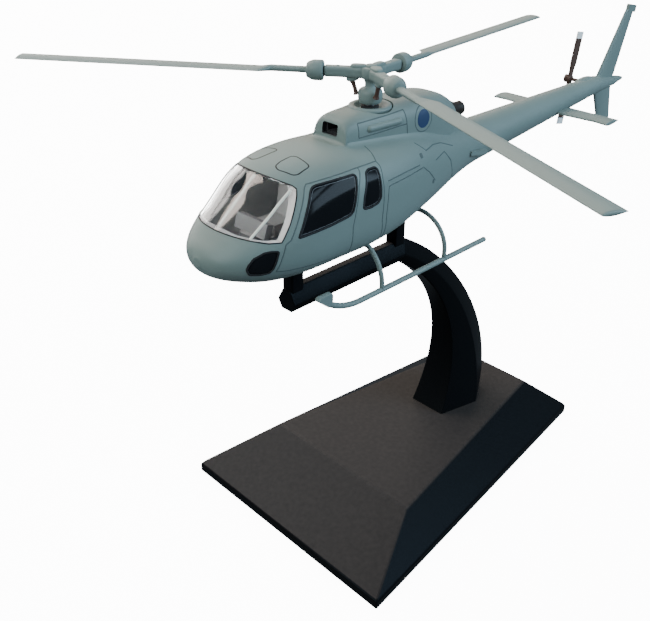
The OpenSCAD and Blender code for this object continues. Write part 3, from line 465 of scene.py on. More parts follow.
# The nose closes on a small dome: rings shrink as a quarter circle ahead of the first station.
def cabinSkin(name):
    rings = ringGrid(cabinRows, cabin["ringPoints"])
    mid = rings[0].mean(0)
    a = np.linspace(math.pi / 2, 0, cabin["domeRings"], endpoint=False)[:, None, None]
    ahead = np.sin(a) * np.array([0, -cabin["domeReach"], 0])
    dome = mid + (rings[0] - mid)[None] * np.maximum(np.cos(a), 0.02) + ahead
    return ringPiece(name, np.vstack([dome, rings]))


def cavitySkin(name):
    y, (low, high) = cabinRows[:, 0], cabin["cavity"]
    rows = cabinRows[(y >= low - 0.01) & (y <= high + 0.01)]
    return ringPiece(name, ringGrid(rows, cabin["ringPoints"], cabin["wall"]))


# The screen's opening is cut first, so that the cavity opens into it and stays hollow.
opening = {key: rounded(windows[key], windows["corner"]) for key in ("screen", "door", "rear", "chin")}
shell = cutWith(cabinSkin("cabinShell"), sidePrism("opening", opening["screen"]))
cutWith(shell, cavitySkin("cavity"))
for key in ("door", "rear", "chin"):
    for reach in ((windows["cutFrom"], across), (-across, -windows["cutFrom"])):
        cutWith(shell, sidePrism("opening", opening[key], *reach))
gap = cabin["splitGap"]
lift = [(0, 0), (0, 0), (gap, gap), (0, gap), (0, gap), (-gap, gap)]
cutWith(shell, sidePrism("underCut", np.array(cabin["split"]) + lift))
dress(shell, "airframe", "bodyPaint", "cabin_shell")


# Faces deeper than the skin line the cabin and take the second finish.
def lineInside(piece, finish, depth=0.25):
    q = faceValues(piece, "center") / mm - datum
    level, size = skinLevel(q)
    deep = ((1 - level) * size > depth) & (q[:, 1] > cabin["cavity"][0] - 1)
    secondFinish(piece, finish, deep)


lineInside(shell, "cabinLining")
pan = cutWith(cabinSkin("bellyPan"), sidePrism("panRegion", cabin["split"]), "INTERSECT")
prongs = dict(places=[(-20.2, -33.4), (12.0, -32.2)], half=1.6, pegHalf=1.0, pegLong=1.9, gap=0.1,
              seatFoot=1.48, seatRim=0.14, seatHigh=3, holeBelow=5, sunk=0.8, rim=0.15, pegRim=0.25)
screwWell = dict(y=18, radius=1.9, low=-45, high=-29.2)
for y, z in prongs["places"]:
    half, hole = prongs["half"], prongs["pegHalf"] + prongs["gap"]
    seat = [(z, prongs["seatFoot"]), (z + prongs["seatRim"], half), (z + prongs["seatHigh"], half)]
    bore = [(z - prongs["holeBelow"], hole), (z + prongs["pegLong"] + prongs["gap"], hole)]
    cutWith(pan, postPiece("seat", y, seat), "UNION")
    cutWith(pan, postPiece("pegHole", y, bore, 0.1))
well = [(screwWell["radius"], screwWell["low"]), (screwWell["radius"], screwWell["high"])]
cutWith(pan, turnedPiece("screwWell", well, datum + [0, screwWell["y"], 0], up))
dress(pan, "airframe", "bodyPaint", "belly_pan")
print("cabin shell:", len(shell.data.polygons), "faces")


# A pane is filled from its middle: out on the skin to its edge and back inside the skin.
def paneGrid(edge, sink, thick, solve, rows=fineRows, steps=26, least=0.001):
    middle = edge.mean(0)
    s = np.concatenate([np.linspace(least, 1, steps), np.linspace(1, least, steps)])
    depth = np.concatenate([np.full(steps, -sink), np.full(steps, -sink - thick)])
    p = solve(middle + s[:, None, None] * (edge - middle)[None])
    return p + skinNormal(p, rows) * depth[:, None, None]


# A plate that follows one side of the body, from its edge in side view.
def sidePlate(name, edge, side, sink, thick, finish, *stands, rows=fineRows):
    grid = paneGrid(edge, sink, thick, lambda flat: onSide(flat, 1, rows), rows)
    dress(ringPiece(name, grid * [side, 1, 1] + datum, 50), "airframe", finish, *stands)


# A bead along a line on the skin: an ellipse, high along the skin's normal and wide across it.
def beadGrid(line, size, closed=True, around=10, rows=fineRows):
    ahead, back = np.roll(line, -1, 0), np.roll(line, 1, 0)
    if not closed:
        ahead[-1], back[0] = line[-1], line[0]
    t = unit(ahead - back)
    n = skinNormal(line, rows)
    b = np.cross(t, n)
    a = circle(around)[None, :, None]
    high, wide = size
    return line[:, None] + high * np.cos(a) * n[:, None] + wide * np.sin(a) * b[:, None] + datum


# Several beads as one piece; open ones get an end face each.
def beadPiece(name, grids, closed=True):
    points, faces, base = [], [], 0
    for grid in grids:
        nu, nv = grid.shape[:2]
        faces += (gridQuads(nu, nv, closed, True) + base).tolist()
        if not closed:
            faces += [[base + k for k in range(nv)][::-1], [base + (nu - 1) * nv + k for k in range(nv)]]
        points.append(grid.reshape(-1, 3))
        base += nu * nv
    return makePiece(name, np.vstack(points), faces, 60)


for key in ("door", "rear", "chin"):
    for side, word in sides:
        edge = evenly(opening[key], 120)
        edge = edge.mean(0) + (edge - edge.mean(0)) * (1 - windows["shrink"])
        # Opaque near-black pane; on the door and rear openings its darkness is partly painted shade of the
        # dim cabin behind.
        sidePlate(key + "Pane" + word, edge, side, windows["sink"], windows["thick"], "sideGlass",
                  key + "_window_" + word.lower())
        edge = evenly(opening[key], 140)
        seal = beadGrid(onSide(edge, side), windows["seal"])
        dress(beadPiece(key + "Seal" + word, [seal]), "airframe", "sealRubberAndGapShade")
        if key == "chin":
            continue
        # A grey bead just inside the door and rear panes: a painted highlight along each pane's edge.
        along = np.roll(edge, -1, 0) - np.roll(edge, 1, 0)
        inward = unit(np.stack([-along[:, 1], along[:, 0]], 1))
        inward *= np.sign((inward * (edge.mean(0) - edge)).sum())
        line = onSide(edge + windows["rimInset"] * inward, side)
        line -= skinNormal(line) * windows["sink"]
        rim = beadPiece(key + "Rim" + word, [beadGrid(line, windows["rim"])])
        dress(rim, "airframe", "paneEdgeHighlight")


# The screen's edge in front view: its side outline carried onto the skin, port half and its mirror.
def screenEdge():
    run = np.array([windows["screenFoot"]] + windows["screen"][2:11] + [windows["screenHead"]])
    t = np.linspace(0, len(run) - 1, 400)
    y, z = (np.interp(t, np.arange(len(run)), run[:, k]) for k in (0, 1))
    x = skinX(y, z)
    port = np.column_stack([x, z])[x > windows["screenGap"]]
    return evenly(np.vstack([port, (port * [-1, 1])[::-1]]), 240)


# Depth of the skin under a front-view point: the first y with body enough round it, by halving.
def screenSolve(flat):
    x, z = flat[..., 0], flat[..., 1]
    near, far = (np.full(x.shape, y) for y in windows["screenReach"])
    for _ in range(40):
        y = (near + far) / 2
        inside = (skinZ(x, y) >= z) & (np.abs(x) < rowAt(y)[1])
        near, far = np.where(inside, near, y), np.where(inside, y, far)
    return np.stack([x, far, z], -1)


screenGrid = paneGrid(screenEdge(), windows["sink"], windows["thick"], screenSolve)
screen = ringPiece("windscreen", screenGrid + datum, 60)
dress(screen, "airframe", "windscreenGlass", "windscreen")
screen.visible_shadow = False  # light reaches the cabin through the pane
seal = beadGrid(screenSolve(screenEdge()), windows["screenSeal"])
dress(beadPiece("screenSeal", [seal]), "airframe", "sealRubberAndGapShade")
# Centre post behind the screen, and a rib near each corner of the screen in a pale finish that is a painted
# highlight for the streak where the glass bends.
y = np.linspace(*windows["postRun"], 40)
line = onRoof(np.stack([0 * y, y], 1))
line -= skinNormal(line) * windows["postSink"]
post = beadPiece("screenPost", [beadGrid(line, windows["post"], False)], False)
dress(post, "airframe", "bodyPaint")
r = np.array(windows["ribRun"])
y = np.linspace(r[0, 1], r[-1, 1], 40)
line = np.stack([np.interp(-y, -r[:, 1], r[:, 0]), y], 1)
ribs = [beadGrid(onRoof(line, side), windows["rib"], False) for side, word in sides]
dress(beadPiece("screenHighlightRibs", ribs, False), "airframe", "paintedHighlightRib")
print("panes and seals made")

# Stations: y, half width, top, upper roundness; foot and middle are depths below the roof, and more aft.
cowl = dict(
    rows=[[-10.2, 4.6, -9.9, 4], [-9, 4.6, -7, 4], [-2.5, 5.4, -6.5, 4], [5.5, 6.3, -6.3, 4],
          [13.5, 6.5, -6.2, 4], [19.5, 6.1, -6.8, 3.6], [23.5, 5.2, -8.4, 3], [26.5, 4, -10.4, 2.6]],
    steps=8, fineSteps=40, ringPoints=120, aft=(2, 8), foot=(1.25, 1.75), middle=(0.3, 0.8),
    footRound=4, wellRadius=4.8, wellFloor=-7.25)
mouth = dict(half=2.1, low=-10.3, high=-7.9, front=-14, end=-5.4, corner=0.5, lined=(-9.9, -5), slack=0.05,
             facing=-0.3)
y, half, top, above = np.asarray(cowl["rows"], float).T
roof = np.array([skinZ(0.0, k) for k in y])
aft = np.clip((y - cowl["aft"][0]) / cowl["aft"][1], 0, 1)
low, middle = (roof - cowl[k][0] - cowl[k][1] * aft for k in ("foot", "middle"))
stations = np.column_stack([y, half, top, low, middle, above, np.full(len(y), cowl["footRound"])])
cowlRows, cowlFine = smoothRows(stations, cowl["steps"]), smoothRows(stations, cowl["fineSteps"])
hood = ringPiece("engineCowl", ringGrid(cowlRows, cowl["ringPoints"]))
half, low, high = mouth["half"], mouth["low"], mouth["high"]
edge = rounded([(-half, low), (half, low), (half, high), (-half, high)], mouth["corner"])
ends = [np.insert(edge, 1, y, axis=1) + datum for y in (mouth["front"], mouth["end"])]
cutWith(hood, ringPiece("mouth", np.stack(ends)))
well = [(cowl["wellRadius"], cowl["wellFloor"]), (cowl["wellRadius"], 0)]
cutWith(hood, turnedPiece("well", well, datum + [0, mastY, 0], up))
dress(hood, "airframe", "bodyPaint", "engine_cowl")
q, facing = faceValues(hood, "center") / mm - datum, faceValues(hood, "normal")[:, 1]
inMouth = (np.abs(q[:, 0]) < half + mouth["slack"]) & (facing > mouth["facing"])
inMouth &= (q[:, 1] > mouth["lined"][0]) & (q[:, 1] < mouth["lined"][1])
inMouth &= (q[:, 2] > low - mouth["slack"]) & (q[:, 2] < high + mouth["slack"])
secondFinish(hood, "blackMoulding", inMouth)

# Rail on each side of the cowl: a rounded bar that closes as a half circle at both ends.
rail = dict(start=(4.95, -4.6, -9.2), end=(5.95, 4.5, -9.05), radius=0.72, full=0.86, closing=0.14)
t, a = np.linspace(-1, 1, 60), circle(24)
close = quarterRound((np.abs(t) - rail["full"]) / rail["closing"], 0.0009)
line = np.array(rail["start"]) + (t[:, None] + 1) / 2 * (np.array(rail["end"]) - rail["start"])
ring = rail["radius"] * close[:, None, None] * np.stack([np.cos(a), 0 * a, np.sin(a)], -1)[None]
for side, word in sides:
    grid = (line[:, None] + ring) * [side, 1, 1] + datum
    bodyPiece("cowlRail" + word, grid, 60)
fairing = dict(run=(24.5, -9.2), corner=0.95, reach=1.25, fade=(25.5, 12), least=0.12, tuck=0.12,
               middle=(0, 4), lift=0.005, edgeDeep=0.5, rootDeep=0.6, rootTuck=0.4)


# Fairing at the cowl's foot: a hollow curve from the wall down and out to the roof, round three sides.
def fairingGrid(s):
    y = np.linspace(*s["run"], 70)
    x = skinX(y, skinZ(rowAt(y, cowlFine)[1], y), cowlFine)
    turn = np.linspace(0, math.pi / 2, 10)[1:]
    bend = [x[-1] - s["corner"] + s["corner"] * np.cos(turn), y[-1] - s["corner"] * np.sin(turn)]
    half = np.vstack([np.stack([x, y], 1), np.stack(bend, 1)])
    front = np.stack([np.linspace(half[-1, 0], -half[-1, 0], 24)[1:-1], np.full(22, half[-1, 1])], 1)
    path = np.vstack([half, front, (half * [-1, 1])[::-1]])
    t = unit(np.gradient(path, axis=0))
    out = np.stack([-t[:, 1], t[:, 0]], 1)
    out *= np.sign((out * (path - s["middle"])).sum(1))[:, None]
    f = s["reach"] * np.clip((s["fade"][0] - path[:, 1]) / s["fade"][1], s["least"], 1)
    base = onRoof(path)
    wall = base + np.column_stack([-s["tuck"] * out, f])
    edge = onRoof(path + out * f[:, None]) + [0, 0, s["lift"]]
    k = np.linspace(0, 1, 9)[None, :, None]
    curve = quadCurve(wall[:, None], base[:, None], edge[:, None], k)
    root = base - [0, 0, s["rootDeep"]] - np.column_stack([s["rootTuck"] * out, 0 * f])
    under = np.stack([edge - [0, 0, s["edgeDeep"]], root], 1)
    return np.concatenate([curve, under], 1) + datum


bodyPiece("cowlFairing", fairingGrid(fairing), 50)
print("cowl made")

# Side lines are (y, z) runs laid on the skin, roof lines are (x, y) runs; the other side is their mirror.
lines = dict(
    side=[[(-25.1, -13.9), (-21.6, -13.7), (-17.5, -13.6), (-13.5, -13.5), (-7.5, -13.6)],
          [(-7.5, -13.6), (-7.1, -14.4), (-7.5, -16.5), (-7.6, -20.8), (-7.9, -25), (-7, -29.6)],
          [(-12.7, -13.5), (-12.8, -14.2), (-14.2, -16.4), (-15.5, -20.7), (-16.3, -24), (-16.1, -29.6)],
          [(-6.1, -17.4), (-0.7, -17.2), (5, -17.3)],
          [(-6.2, -29.6), (-6.6, -24.5), (-6.2, -20), (-6, -18.6), (-5.4, -18.4), (-0.9, -18.3), (6.4, -18.1),
           (9, -20), (11.9, -22.7)],
          [(12, -18.3), (16.4, -17.8), (19.1, -20.4), (21.5, -25.6)],
          [(8.7, -15.5), (12.5, -15.4), (16, -16), (21, -17.9)],
          [(-25.1, -13.9), (-25.8, -14.4), (-28.3, -17.9), (-31.3, -22.3), (-32.4, -22.9), (-33.2, -25.2),
           (-34.1, -28)],
          [(-34.1, -28), (-32.6, -28.4), (-24.2, -29.2), (-18.2, -29.7)],
          [(6.3, -13.6), (8.2, -15), (8.7, -15.5)]],
    roof=[[(5.5, -6.1), (8.5, -6.8), (10.1, -7.4)]],
    roofWindow=[(2.6, -26.8), (2.2, -25.3), (2.07, -22.3), (2.78, -21.67), (6.33, -21.83), (6.78, -22.25),
                (6.99, -25.15), (6.54, -26.02), (3.73, -27.21)],
    cowl=[[(-6.8, -7.7), (-6.8, -10.5), (-1, -10.3), (4.4, -10), (5.9, -10)],
          [(-6.8, -7.7), (0, -7.5), (5.8, -7.2)], [(5.7, -7.2), (6.3, -12.2)]],
    size=(0.045, 0.13), windowCorner=0.45, disc=(11.2, -10), discRadius=1.9, discRing=2.7, discSink=-0.03,
    marks=[[(5.8, -15.3), (6.8, -15.4), (6.9, -16.4), (5.9, -16.3)],
           [(10.6, -22.1), (11.4, -22.1), (11.4, -23.1), (10.6, -23.1)]],
    markCorner=0.25, markSink=-0.04, thick=0.2)


def markLine(path, closed, rows=fineRows):
    return beadGrid(path, lines["size"], closed, 8, rows)


def discEdge(radius, n):
    turn = circle(n)
    return np.array(lines["disc"]) + radius * np.stack([np.cos(turn), np.sin(turn)], 1)


runs, loops, discRings = [], [], []
for side, word in sides:
    runs += [markLine(onSide(alongRun(run), side), False) for run in lines["side"]]
    runs += [markLine(onSide(alongRun(run), side, cowlFine), False, cowlFine) for run in lines["cowl"]]
    runs += [markLine(onRoof(alongRun(run), side), False) for run in lines["roof"]]
    edge = evenly(rounded(lines["roofWindow"], lines["windowCorner"]), 90)
    loops.append(markLine(onRoof(edge, side), True))
    edge = discEdge(lines["discRing"], 80)
    discRings.append(markLine(onSide(edge, side, cowlFine), True, cowlFine))
dress(beadPiece("panelLines", runs, False), "airframe", "lineInk")
dress(beadPiece("windowLines", loops), "airframe", "sealRubberAndGapShade")
dress(beadPiece("discRings", discRings), "airframe", "lineInk")
for side, word in sides:
    edge = discEdge(lines["discRadius"], 96)
    sidePlate("cowlDisc" + word, edge, side, lines["discSink"], lines["thick"], "discInk", rows=cowlFine)
    for k, mark in enumerate(lines["marks"]):
        edge = evenly(rounded(mark, lines["markCorner"]), 40)
        sidePlate("catch%d%s" % (k + 1, word), edge, side, lines["markSink"], lines["thick"], "lineInk")
print("panel lines laid:", len(runs) + len(loops))

plinthSet = dict(front=64.4, back=44.4, depth=94.6, lip=2.6, height=10.3, topFront=45.4, topBack=24.0,
                 frontRun=20.6, backRun=8.6, edge=0.45, edgeSteps=3, edgeAngle=8)
armSet = dict(inner=[(-10, 62.8), (5, 54), (19.5, 35), (8.2, 10.3)],
              outer=[(-7.8, 68), (8.7, 60.3), (33.3, 33.8), (27, 10.3)],
              low=[1.55, 2.15, 3.35, 5.2], wide=[2.7, 2.9, 4, 8.2], high=[0.95, 1.35, 2.25, 4.2],
              ridge=[2 / 5.2, 0.42, 0.5, 0.63], rows=90, corner=0.32)
barSet = dict(front=-44.2, bottom=62.8, ridge=64.8, top=68, low=1.55, wide=2.7, high=0.95, nose=0.5,
              rim=0.14, rimDrop=0.8, draw=0.95, middle=65.2, between=[-36, -27, -18], joint=0.03, corner=0.32)


def bezier(points, t):
    a, b, c, d = (np.asarray(p, float) for p in points)
    t = t[:, None] if a.ndim else t
    return (1 - t) ** 3 * a + 3 * t * (1 - t) ** 2 * b + 3 * t ** 2 * (1 - t) * c + t ** 3 * d


# Four corners of the plinth at a width pair, from front to back.
def plinthRing(front, back, y0, y1, z):
    return np.array([(-front / 2, y0, z), (front / 2, y0, z), (back / 2, y1, z), (-back / 2, y1, z)])


s = plinthSet
y0, y1 = -s["depth"] / 2, s["depth"] / 2
foot = (s["front"], s["back"], y0, y1)
top = (s["topFront"], s["topBack"], y0 + s["frontRun"], y1 - s["backRun"])
rings = [plinthRing(*foot, 0), plinthRing(*foot, s["lip"]), plinthRing(*top, s["height"])]
plinth = ringPiece("plinth", np.stack(rings), 20)
edge = plinth.modifiers.new("edge", "BEVEL")
edge.width, edge.segments = s["edge"] * mm, s["edgeSteps"]
edge.limit_method, edge.angle_limit = "ANGLE", math.radians(s["edgeAngle"])
dress(plinth, "stand", "standPlastic", "plinth", "plinth_cover")


# The arm: six-cornered rings between the inner and the outer curve; their widths run on curves too.
def armGrid(s):
    t = np.linspace(0, 1, s["rows"])
    inner, outer = bezier(s["inner"], t), bezier(s["outer"], t)
    ridge = inner + bezier(s["ridge"], t)[:, None] * (outer - inner)
    low, wide, high = (bezier(s[k], t) for k in ("low", "wide", "high"))
    corners = [(-low, inner), (low, inner), (wide, ridge), (high, outer), (-high, outer), (-wide, ridge)]
    rings = np.stack([np.column_stack([x, yz]) for x, yz in corners], 1)
    return np.stack([rounded(ring, s["corner"], 5) for ring in rings])


dress(ringPiece("standArm", armGrid(armSet), 30), "stand", "standPlastic", "stand_arm")


# The bar: the same six corners along y; its front is drawn in and its rear leans to meet the arm.
def barGrid(s):
    heights, widths = [s["bottom"], s["ridge"], s["top"]], [s["low"], s["wide"], s["high"]]
    (y0, z0), (y1, z1) = armSet["inner"][0], armSet["outer"][0]
    stations = [(s["front"], s["top"] - s["nose"], s["draw"]),
                (s["front"] + s["rim"], s["top"] - s["rimDrop"] * s["nose"], 1),
                (s["front"] + s["nose"], s["top"], 1)] + [(y, s["top"], 1) for y in s["between"] + [None]]
    rows = []
    for y, top, draw in stations:
        right = [(s["low"], s["bottom"]), (s["wide"], s["ridge"]), (np.interp(top, heights, widths), top)]
        left = [(-x, z) for x, z in right]
        p = rounded(left[:1] + right + left[:0:-1], s["corner"], 5)
        x, z = ([0, s["middle"]] + (p - [0, s["middle"]]) * draw).T
        lean = y0 + (z - z0) / (z1 - z0) * (y1 - y0) - s["joint"]
        rows.append(np.column_stack([x, lean if y is None else np.full(len(p), y), z]))
    return np.stack(rows)


bar = ringPiece("cradleBar", barGrid(barSet), 30)
for y, z in prongs["places"]:
    shoulder, half, peg = z - prongs["gap"], prongs["half"], prongs["pegHalf"]
    tip, rim, pegRim = shoulder + prongs["pegLong"], prongs["rim"], prongs["pegRim"]
    rings = [(barSet["top"] - prongs["sunk"] - datum[2], half), (shoulder - rim, half),
             (shoulder, half - rim), (shoulder, peg), (tip - pegRim, peg), (tip, peg - pegRim)]
    cutWith(bar, postPiece("prong", y, rings), "UNION", 30)
dress(bar, "stand", "standPlastic", "cradle_bar")
print("stand made")

# Turned profiles are (radius, height) pairs; a cuff's run out along its arm.
bladeSet = dict(radius=74.2, lead=-0.95, trail=3.35, thick=0.9, neckHalf=0.9, neckThick=1.3, start=12.2,
                rootAt=20.4, leadFull=20.8, trailFull=22.6, first=97.0, tipRound=0.4, soft=0.09,
                boltAt=[4.0, 6.8], bolt=[(0.02, 0.5), (0.5, 0.5), (0.5, 1.12), (0.42, 1.17), (0.02, 1.18)])
gripSet = dict(half=1.12, high=1.1, root=1.3, start=0.8, end=9.4, corner=4.0, closing=(0.82, 0.18),
               startRun=0.5, endRun=0.3, straight=(1.6, 0.35), taper=[2.8, 3.6])
cuffSet = dict(profile=[(0.02, 9.62), (1.72, 9.62), (1.95, 9.72), (2.05, 9.95), (2.05, 11.5), (1.98, 11.9),
                        (1.72, 12.55), (1.5, 12.95), (1.32, 13.08), (0.02, 13.08)],
               neck=[(0.9, 9.2), (0.9, 9.75)])
wing = dict(nose=1.32, fall=0.62, tail=0.7, full=0.543, share=0.44, rim=0.06, edge=8)
hubAt = datum + [0, mastY, 0]


# Half thickness of a wing section at a share of its chord.
def wingHalf(c):
    curve = wing["nose"] * np.sqrt(c) - wing["fall"] * c - wing["tail"] * c ** 3
    return curve / wing["full"] * wing["share"]


# A grip: a rounded square bar along its arm, wider at the root, both ends closed over a short run.
def gripGrid(s, e, f, around=40):
    bend = np.linspace(0.2, 1.57, 6)
    r = np.concatenate([s["start"] + s["startRun"] * (1 - np.cos(bend)),
                        np.linspace(s["straight"][0], s["end"] - s["straight"][1], 24),
                        s["end"] - s["endRun"] * (1 - np.sin(bend))])
    near = np.minimum((r - s["start"]) / s["startRun"], (s["end"] - r) / s["endRun"])
    close = s["closing"][0] + s["closing"][1] * quarterRound(1 - near, 0)
    half = np.interp(r, s["taper"], [s["root"], s["half"]]) * close
    a, p = circle(around), s["corner"]
    k = (np.abs(np.cos(a)) ** p + np.abs(np.sin(a)) ** p) ** (-1 / p)
    return (hubAt + r[:, None, None] * e + (half[:, None] * k * np.cos(a))[..., None] * f
            + (s["high"] * close[:, None] * k * np.sin(a))[..., None] * up)


# A lump about a point: |coordinate|^power adds up to 1 along its axes; 2 is an egg, 4 nearly a box.
def lumpGrid(middle, axes, power=3.5, nu=18, nv=28, pole=0.03):
    u = np.linspace(-math.pi / 2 + pole, math.pi / 2 - pole, nu)[:, None]
    v = circle(nv)[None]
    d = np.stack([np.cos(u) * np.cos(v), np.cos(u) * np.sin(v), np.sin(u) + 0 * v], -1)
    d /= (np.abs(d) ** power).sum(-1, keepdims=True) ** (1 / power)
    return middle + d @ np.asarray(axes, float)


# A blade: an ellipse on the neck blends into a wing section from leading to trailing edge.
def bladeGrid(s, e, f, around=44):
    root, full, end = s["rootAt"], s["trailFull"], s["radius"] - s["tipRound"]
    r = np.concatenate([np.linspace(s["start"], root, 12), np.linspace(root + 0.1, full + 0.4, 16),
                        np.linspace(full + 2, end, 30),
                        s["radius"] - s["tipRound"] * (1 - np.sin(np.linspace(0.15, 1.5, 8)))])
    k = np.clip((r - root) / (full - root), 0, 1)[:, None]
    lead = np.interp(r, [root, s["leadFull"]], [-s["neckHalf"], s["lead"]])[:, None]
    trail = np.interp(r, [root, full], [s["neckHalf"], s["trail"]])[:, None]
    close = quarterRound(1 - (s["radius"] - r) / s["tipRound"], 0.003)[:, None]
    a = circle(around)
    c = (1 - np.cos(a)) / 2
    section = wingHalf(c) + wing["rim"] * np.sin(a) ** 2
    half = (1 - k) * np.abs(np.sin(a)) * s["neckThick"] / 2 + k * section * s["thick"]
    z = np.sign(np.sin(a)) * half * close
    y = (lead + trail) / 2 + (trail - lead) * (c - 0.5) * (1 - s["soft"] * (1 - close))
    return hubAt + r[:, None, None] * e + y[..., None] * f + z[..., None] * up


linkSet = dict(low=(2.75, -4.6), high=(3.75, -1.6), radius=0.45, knob=0.55, knobAt=(0.06, 0.94),
               knobRun=0.09, endRun=0.3, least=0.3)
links, bolts = [], []
for k in range(3):
    turn, number = math.radians(bladeSet["first"] + 120 * k), str(k + 1)
    e = np.array([math.cos(turn), math.sin(turn), 0])
    f = np.array([-math.sin(turn), math.cos(turn), 0])
    blade, grip = bladeGrid(bladeSet, e, f), gripGrid(gripSet, e, f)
    bodyPiece("mainBlade" + number, blade, 50, "main_blade_" + number, body="main_rotor")
    bodyPiece("bladeGrip" + number, grip, 40, "blade_grip_" + number, body="main_rotor")
    cuff = turnedPiece("bladeCuff" + number, cuffSet["profile"], hubAt, e, 72, 40)
    dress(cuff, "main_rotor", "bodyPaint")
    # A near-black neck fills the gap between grip and cuff: painted shade in the gap.
    neck = turnedPiece("cuffNeck" + number, cuffSet["neck"], hubAt, e, 40, 40)
    dress(neck, "main_rotor", "sealRubberAndGapShade")
    plate = lumpGrid(hubAt + 2.5 * e + 1.1 * up, [1.75 * e, 0.95 * f, 0.55 * up])
    bodyPiece("gripPlate" + number, plate, 50, body="main_rotor")
    leverAxes = [1.25 * e - 0.25 * up, 0.75 * f, 0.15 * e + 0.6 * up]
    lever = lumpGrid(hubAt + 3.7 * e - 1.2 * up, leverAxes)
    bodyPiece("pitchHorn" + number, lever, 50, body="main_rotor")
    bolts += [turnedGrid(bladeSet["bolt"], hubAt + x * e, up, 24) for x in bladeSet["boltAt"]]
    low, high = np.array(linkSet["low"]), np.array(linkSet["high"])
    t = np.linspace(0, 1, 24)
    path = low + t[:, None] * (high - low)
    path = hubAt + path[:, :1] * e + path[:, 1:] * up
    knobs = [linkSet["knob"] * np.exp(-((t - at) / linkSet["knobRun"]) ** 2) for at in linkSet["knobAt"]]
    thick = linkSet["radius"] * (1 + knobs[0] + knobs[1])
    ends = np.clip(roundEnds(path, linkSet["endRun"]), linkSet["least"], 1)
    links.append(tubeGrid(path, thick * ends, f, 16))
dress(beadPiece("gripBolts", bolts, False), "main_rotor", "bodyPaint", "grip_bolts")
dress(beadPiece("pitchLinks", links, False), "main_rotor", "brownMoulding", "pitch_links")
hubSet = dict(
    star=[(0.02, -1.25), (1.5, -1.25), (1.95, -1.05), (2.2, -0.7), (2.2, 0.75), (2.0, 1.1), (1.6, 1.22),
          (0.02, 1.22)],
    cap=[(0.02, 1.1), (1.2, 1.1), (1.2, 1.4), (1.05, 1.6), (0.7, 1.7), (0.02, 1.74)],
    drum=[(0.02, -6.05), (1.75, -6.05), (2.2, -5.9), (2.45, -5.45), (2.52, -4.9), (2.52, -3.95), (2.36, -3.4),
          (1.95, -3.1), (1.4, -2.95), (1.18, -2.65), (1.18, -1.95), (1.4, -1.45), (1.6, -1.2), (0.02, -1.2)],
    collar=[(2.3, -7.2), (4.2, -7.2), (4.42, -7.0), (4.45, -6.75), (4.3, -6.45), (4.0, -6.3), (3.4, -6.32),
            (3.05, -6.5), (2.9, -6.8)], collarLong=1.06)
for name, key, segments, node in (("hubStar", "star", 72, "hub_star"), ("hubCap", "cap", 48, "hub_screw"),
                                  ("swashDrum", "drum", 72, "swash_drum")):
    dress(turnedPiece(name, hubSet[key], hubAt, up, segments, 40), "main_rotor", "bodyPaint", node)
a, (r, z) = circle(72)[:, None], np.array(hubSet["collar"]).T
collar = np.stack([r * np.cos(a), r * np.sin(a) * hubSet["collarLong"], z + 0 * a], -1) + hubAt
quads = gridQuads(*collar.shape[:2], True, True)
dress(makePiece("mastCollar", collar.reshape(-1, 3), quads, 50), "airframe", "bodyPaint", "mast_collar")
print("rotor made")

# Boom and end are (y, height, radius); a fin's root and tip are (front, rear, height).
tailSet = dict(
    boom=[(36.03, -22.2, 5.2), (94, -19.4, 2.45)], fromBoom=(94.05, -19.4, 2.45), end=(104.8, -20.0, 1.35),
    upper=dict(root=(94.5, 104.8, -18.4), tip=(105.4, 109.95, -0.6), thick=1.7, tipThick=1.0),
    lower=dict(root=(94.4, 104.0, -20.4), tip=(100.0, 106.95, -31.5), thick=1.7, tipThick=1.0),
    finFull=0.97, finClosing=0.03, block=[(105.95, -1.3), (106.3, 0.85), (110.45, 0.05), (110.2, -1.8)],
    cone=[(106.4, 0, 1.1), (108, -0.05, 0.82), (109.3, -0.15, 0.62), (110.1, -0.2, 0.45),
          (110.4, -0.2, 0.06)], coneStep=(0.03, 0.06),
    bulge=dict(middle=(-0.5, 89.6, -18.55), half=(1.7, 5.4, 2.05)),
    stab=dict(rows=[(0, 70.5, 77.8), (13.5, 71.9, 77.8), (17.2, 71.5, 77.8)], z=-22.0, thick=1.1,
              bend=13.5, tip=17.0, closing=0.2))


# Circles along y, each with its own height and radius.
def hoopGrid(y, z, r, around=72):
    y, z, r, a = y[:, None], z[:, None], r[:, None], circle(around)
    return np.stack([r * np.cos(a), y + 0 * a, z + r * np.sin(a)], -1) + datum


# Height and radius run straight between the stations.
def boomGrid(stations, y):
    at, z, r = np.asarray(stations, float).T
    return hoopGrid(y, np.interp(y, at, z), np.interp(y, at, r))


# Loop of a wing section at unit chord: c runs 0 to 1 and back.
def wingLoop(around=48):
    a = circle(around)
    c = (1 - np.cos(a)) / 2
    half = wingHalf(c) + wing["rim"]
    return c, np.sign(np.sin(a)) * half * np.minimum(1, np.abs(np.sin(a)) * wing["edge"])


# A fin: wing sections across the aircraft from its root to its tip, the tip closed round.
def finGrid(s):
    full, closing = tailSet["finFull"], tailSet["finClosing"]
    c, half = wingLoop()
    tip = full + closing * np.sin(np.linspace(0.2, 1.57, 8))
    k = np.concatenate([np.linspace(0, full, 24), tip])[:, None]
    front, rear, z = (s["root"][i] + k * (s["tip"][i] - s["root"][i]) for i in range(3))
    close = quarterRound((k - full) / closing, 0.01)
    thick = (s["thick"] + k * (s["tipThick"] - s["thick"])) * close
    return np.stack([thick * half, front + (rear - front) * c, z + 0 * c], -1) + datum


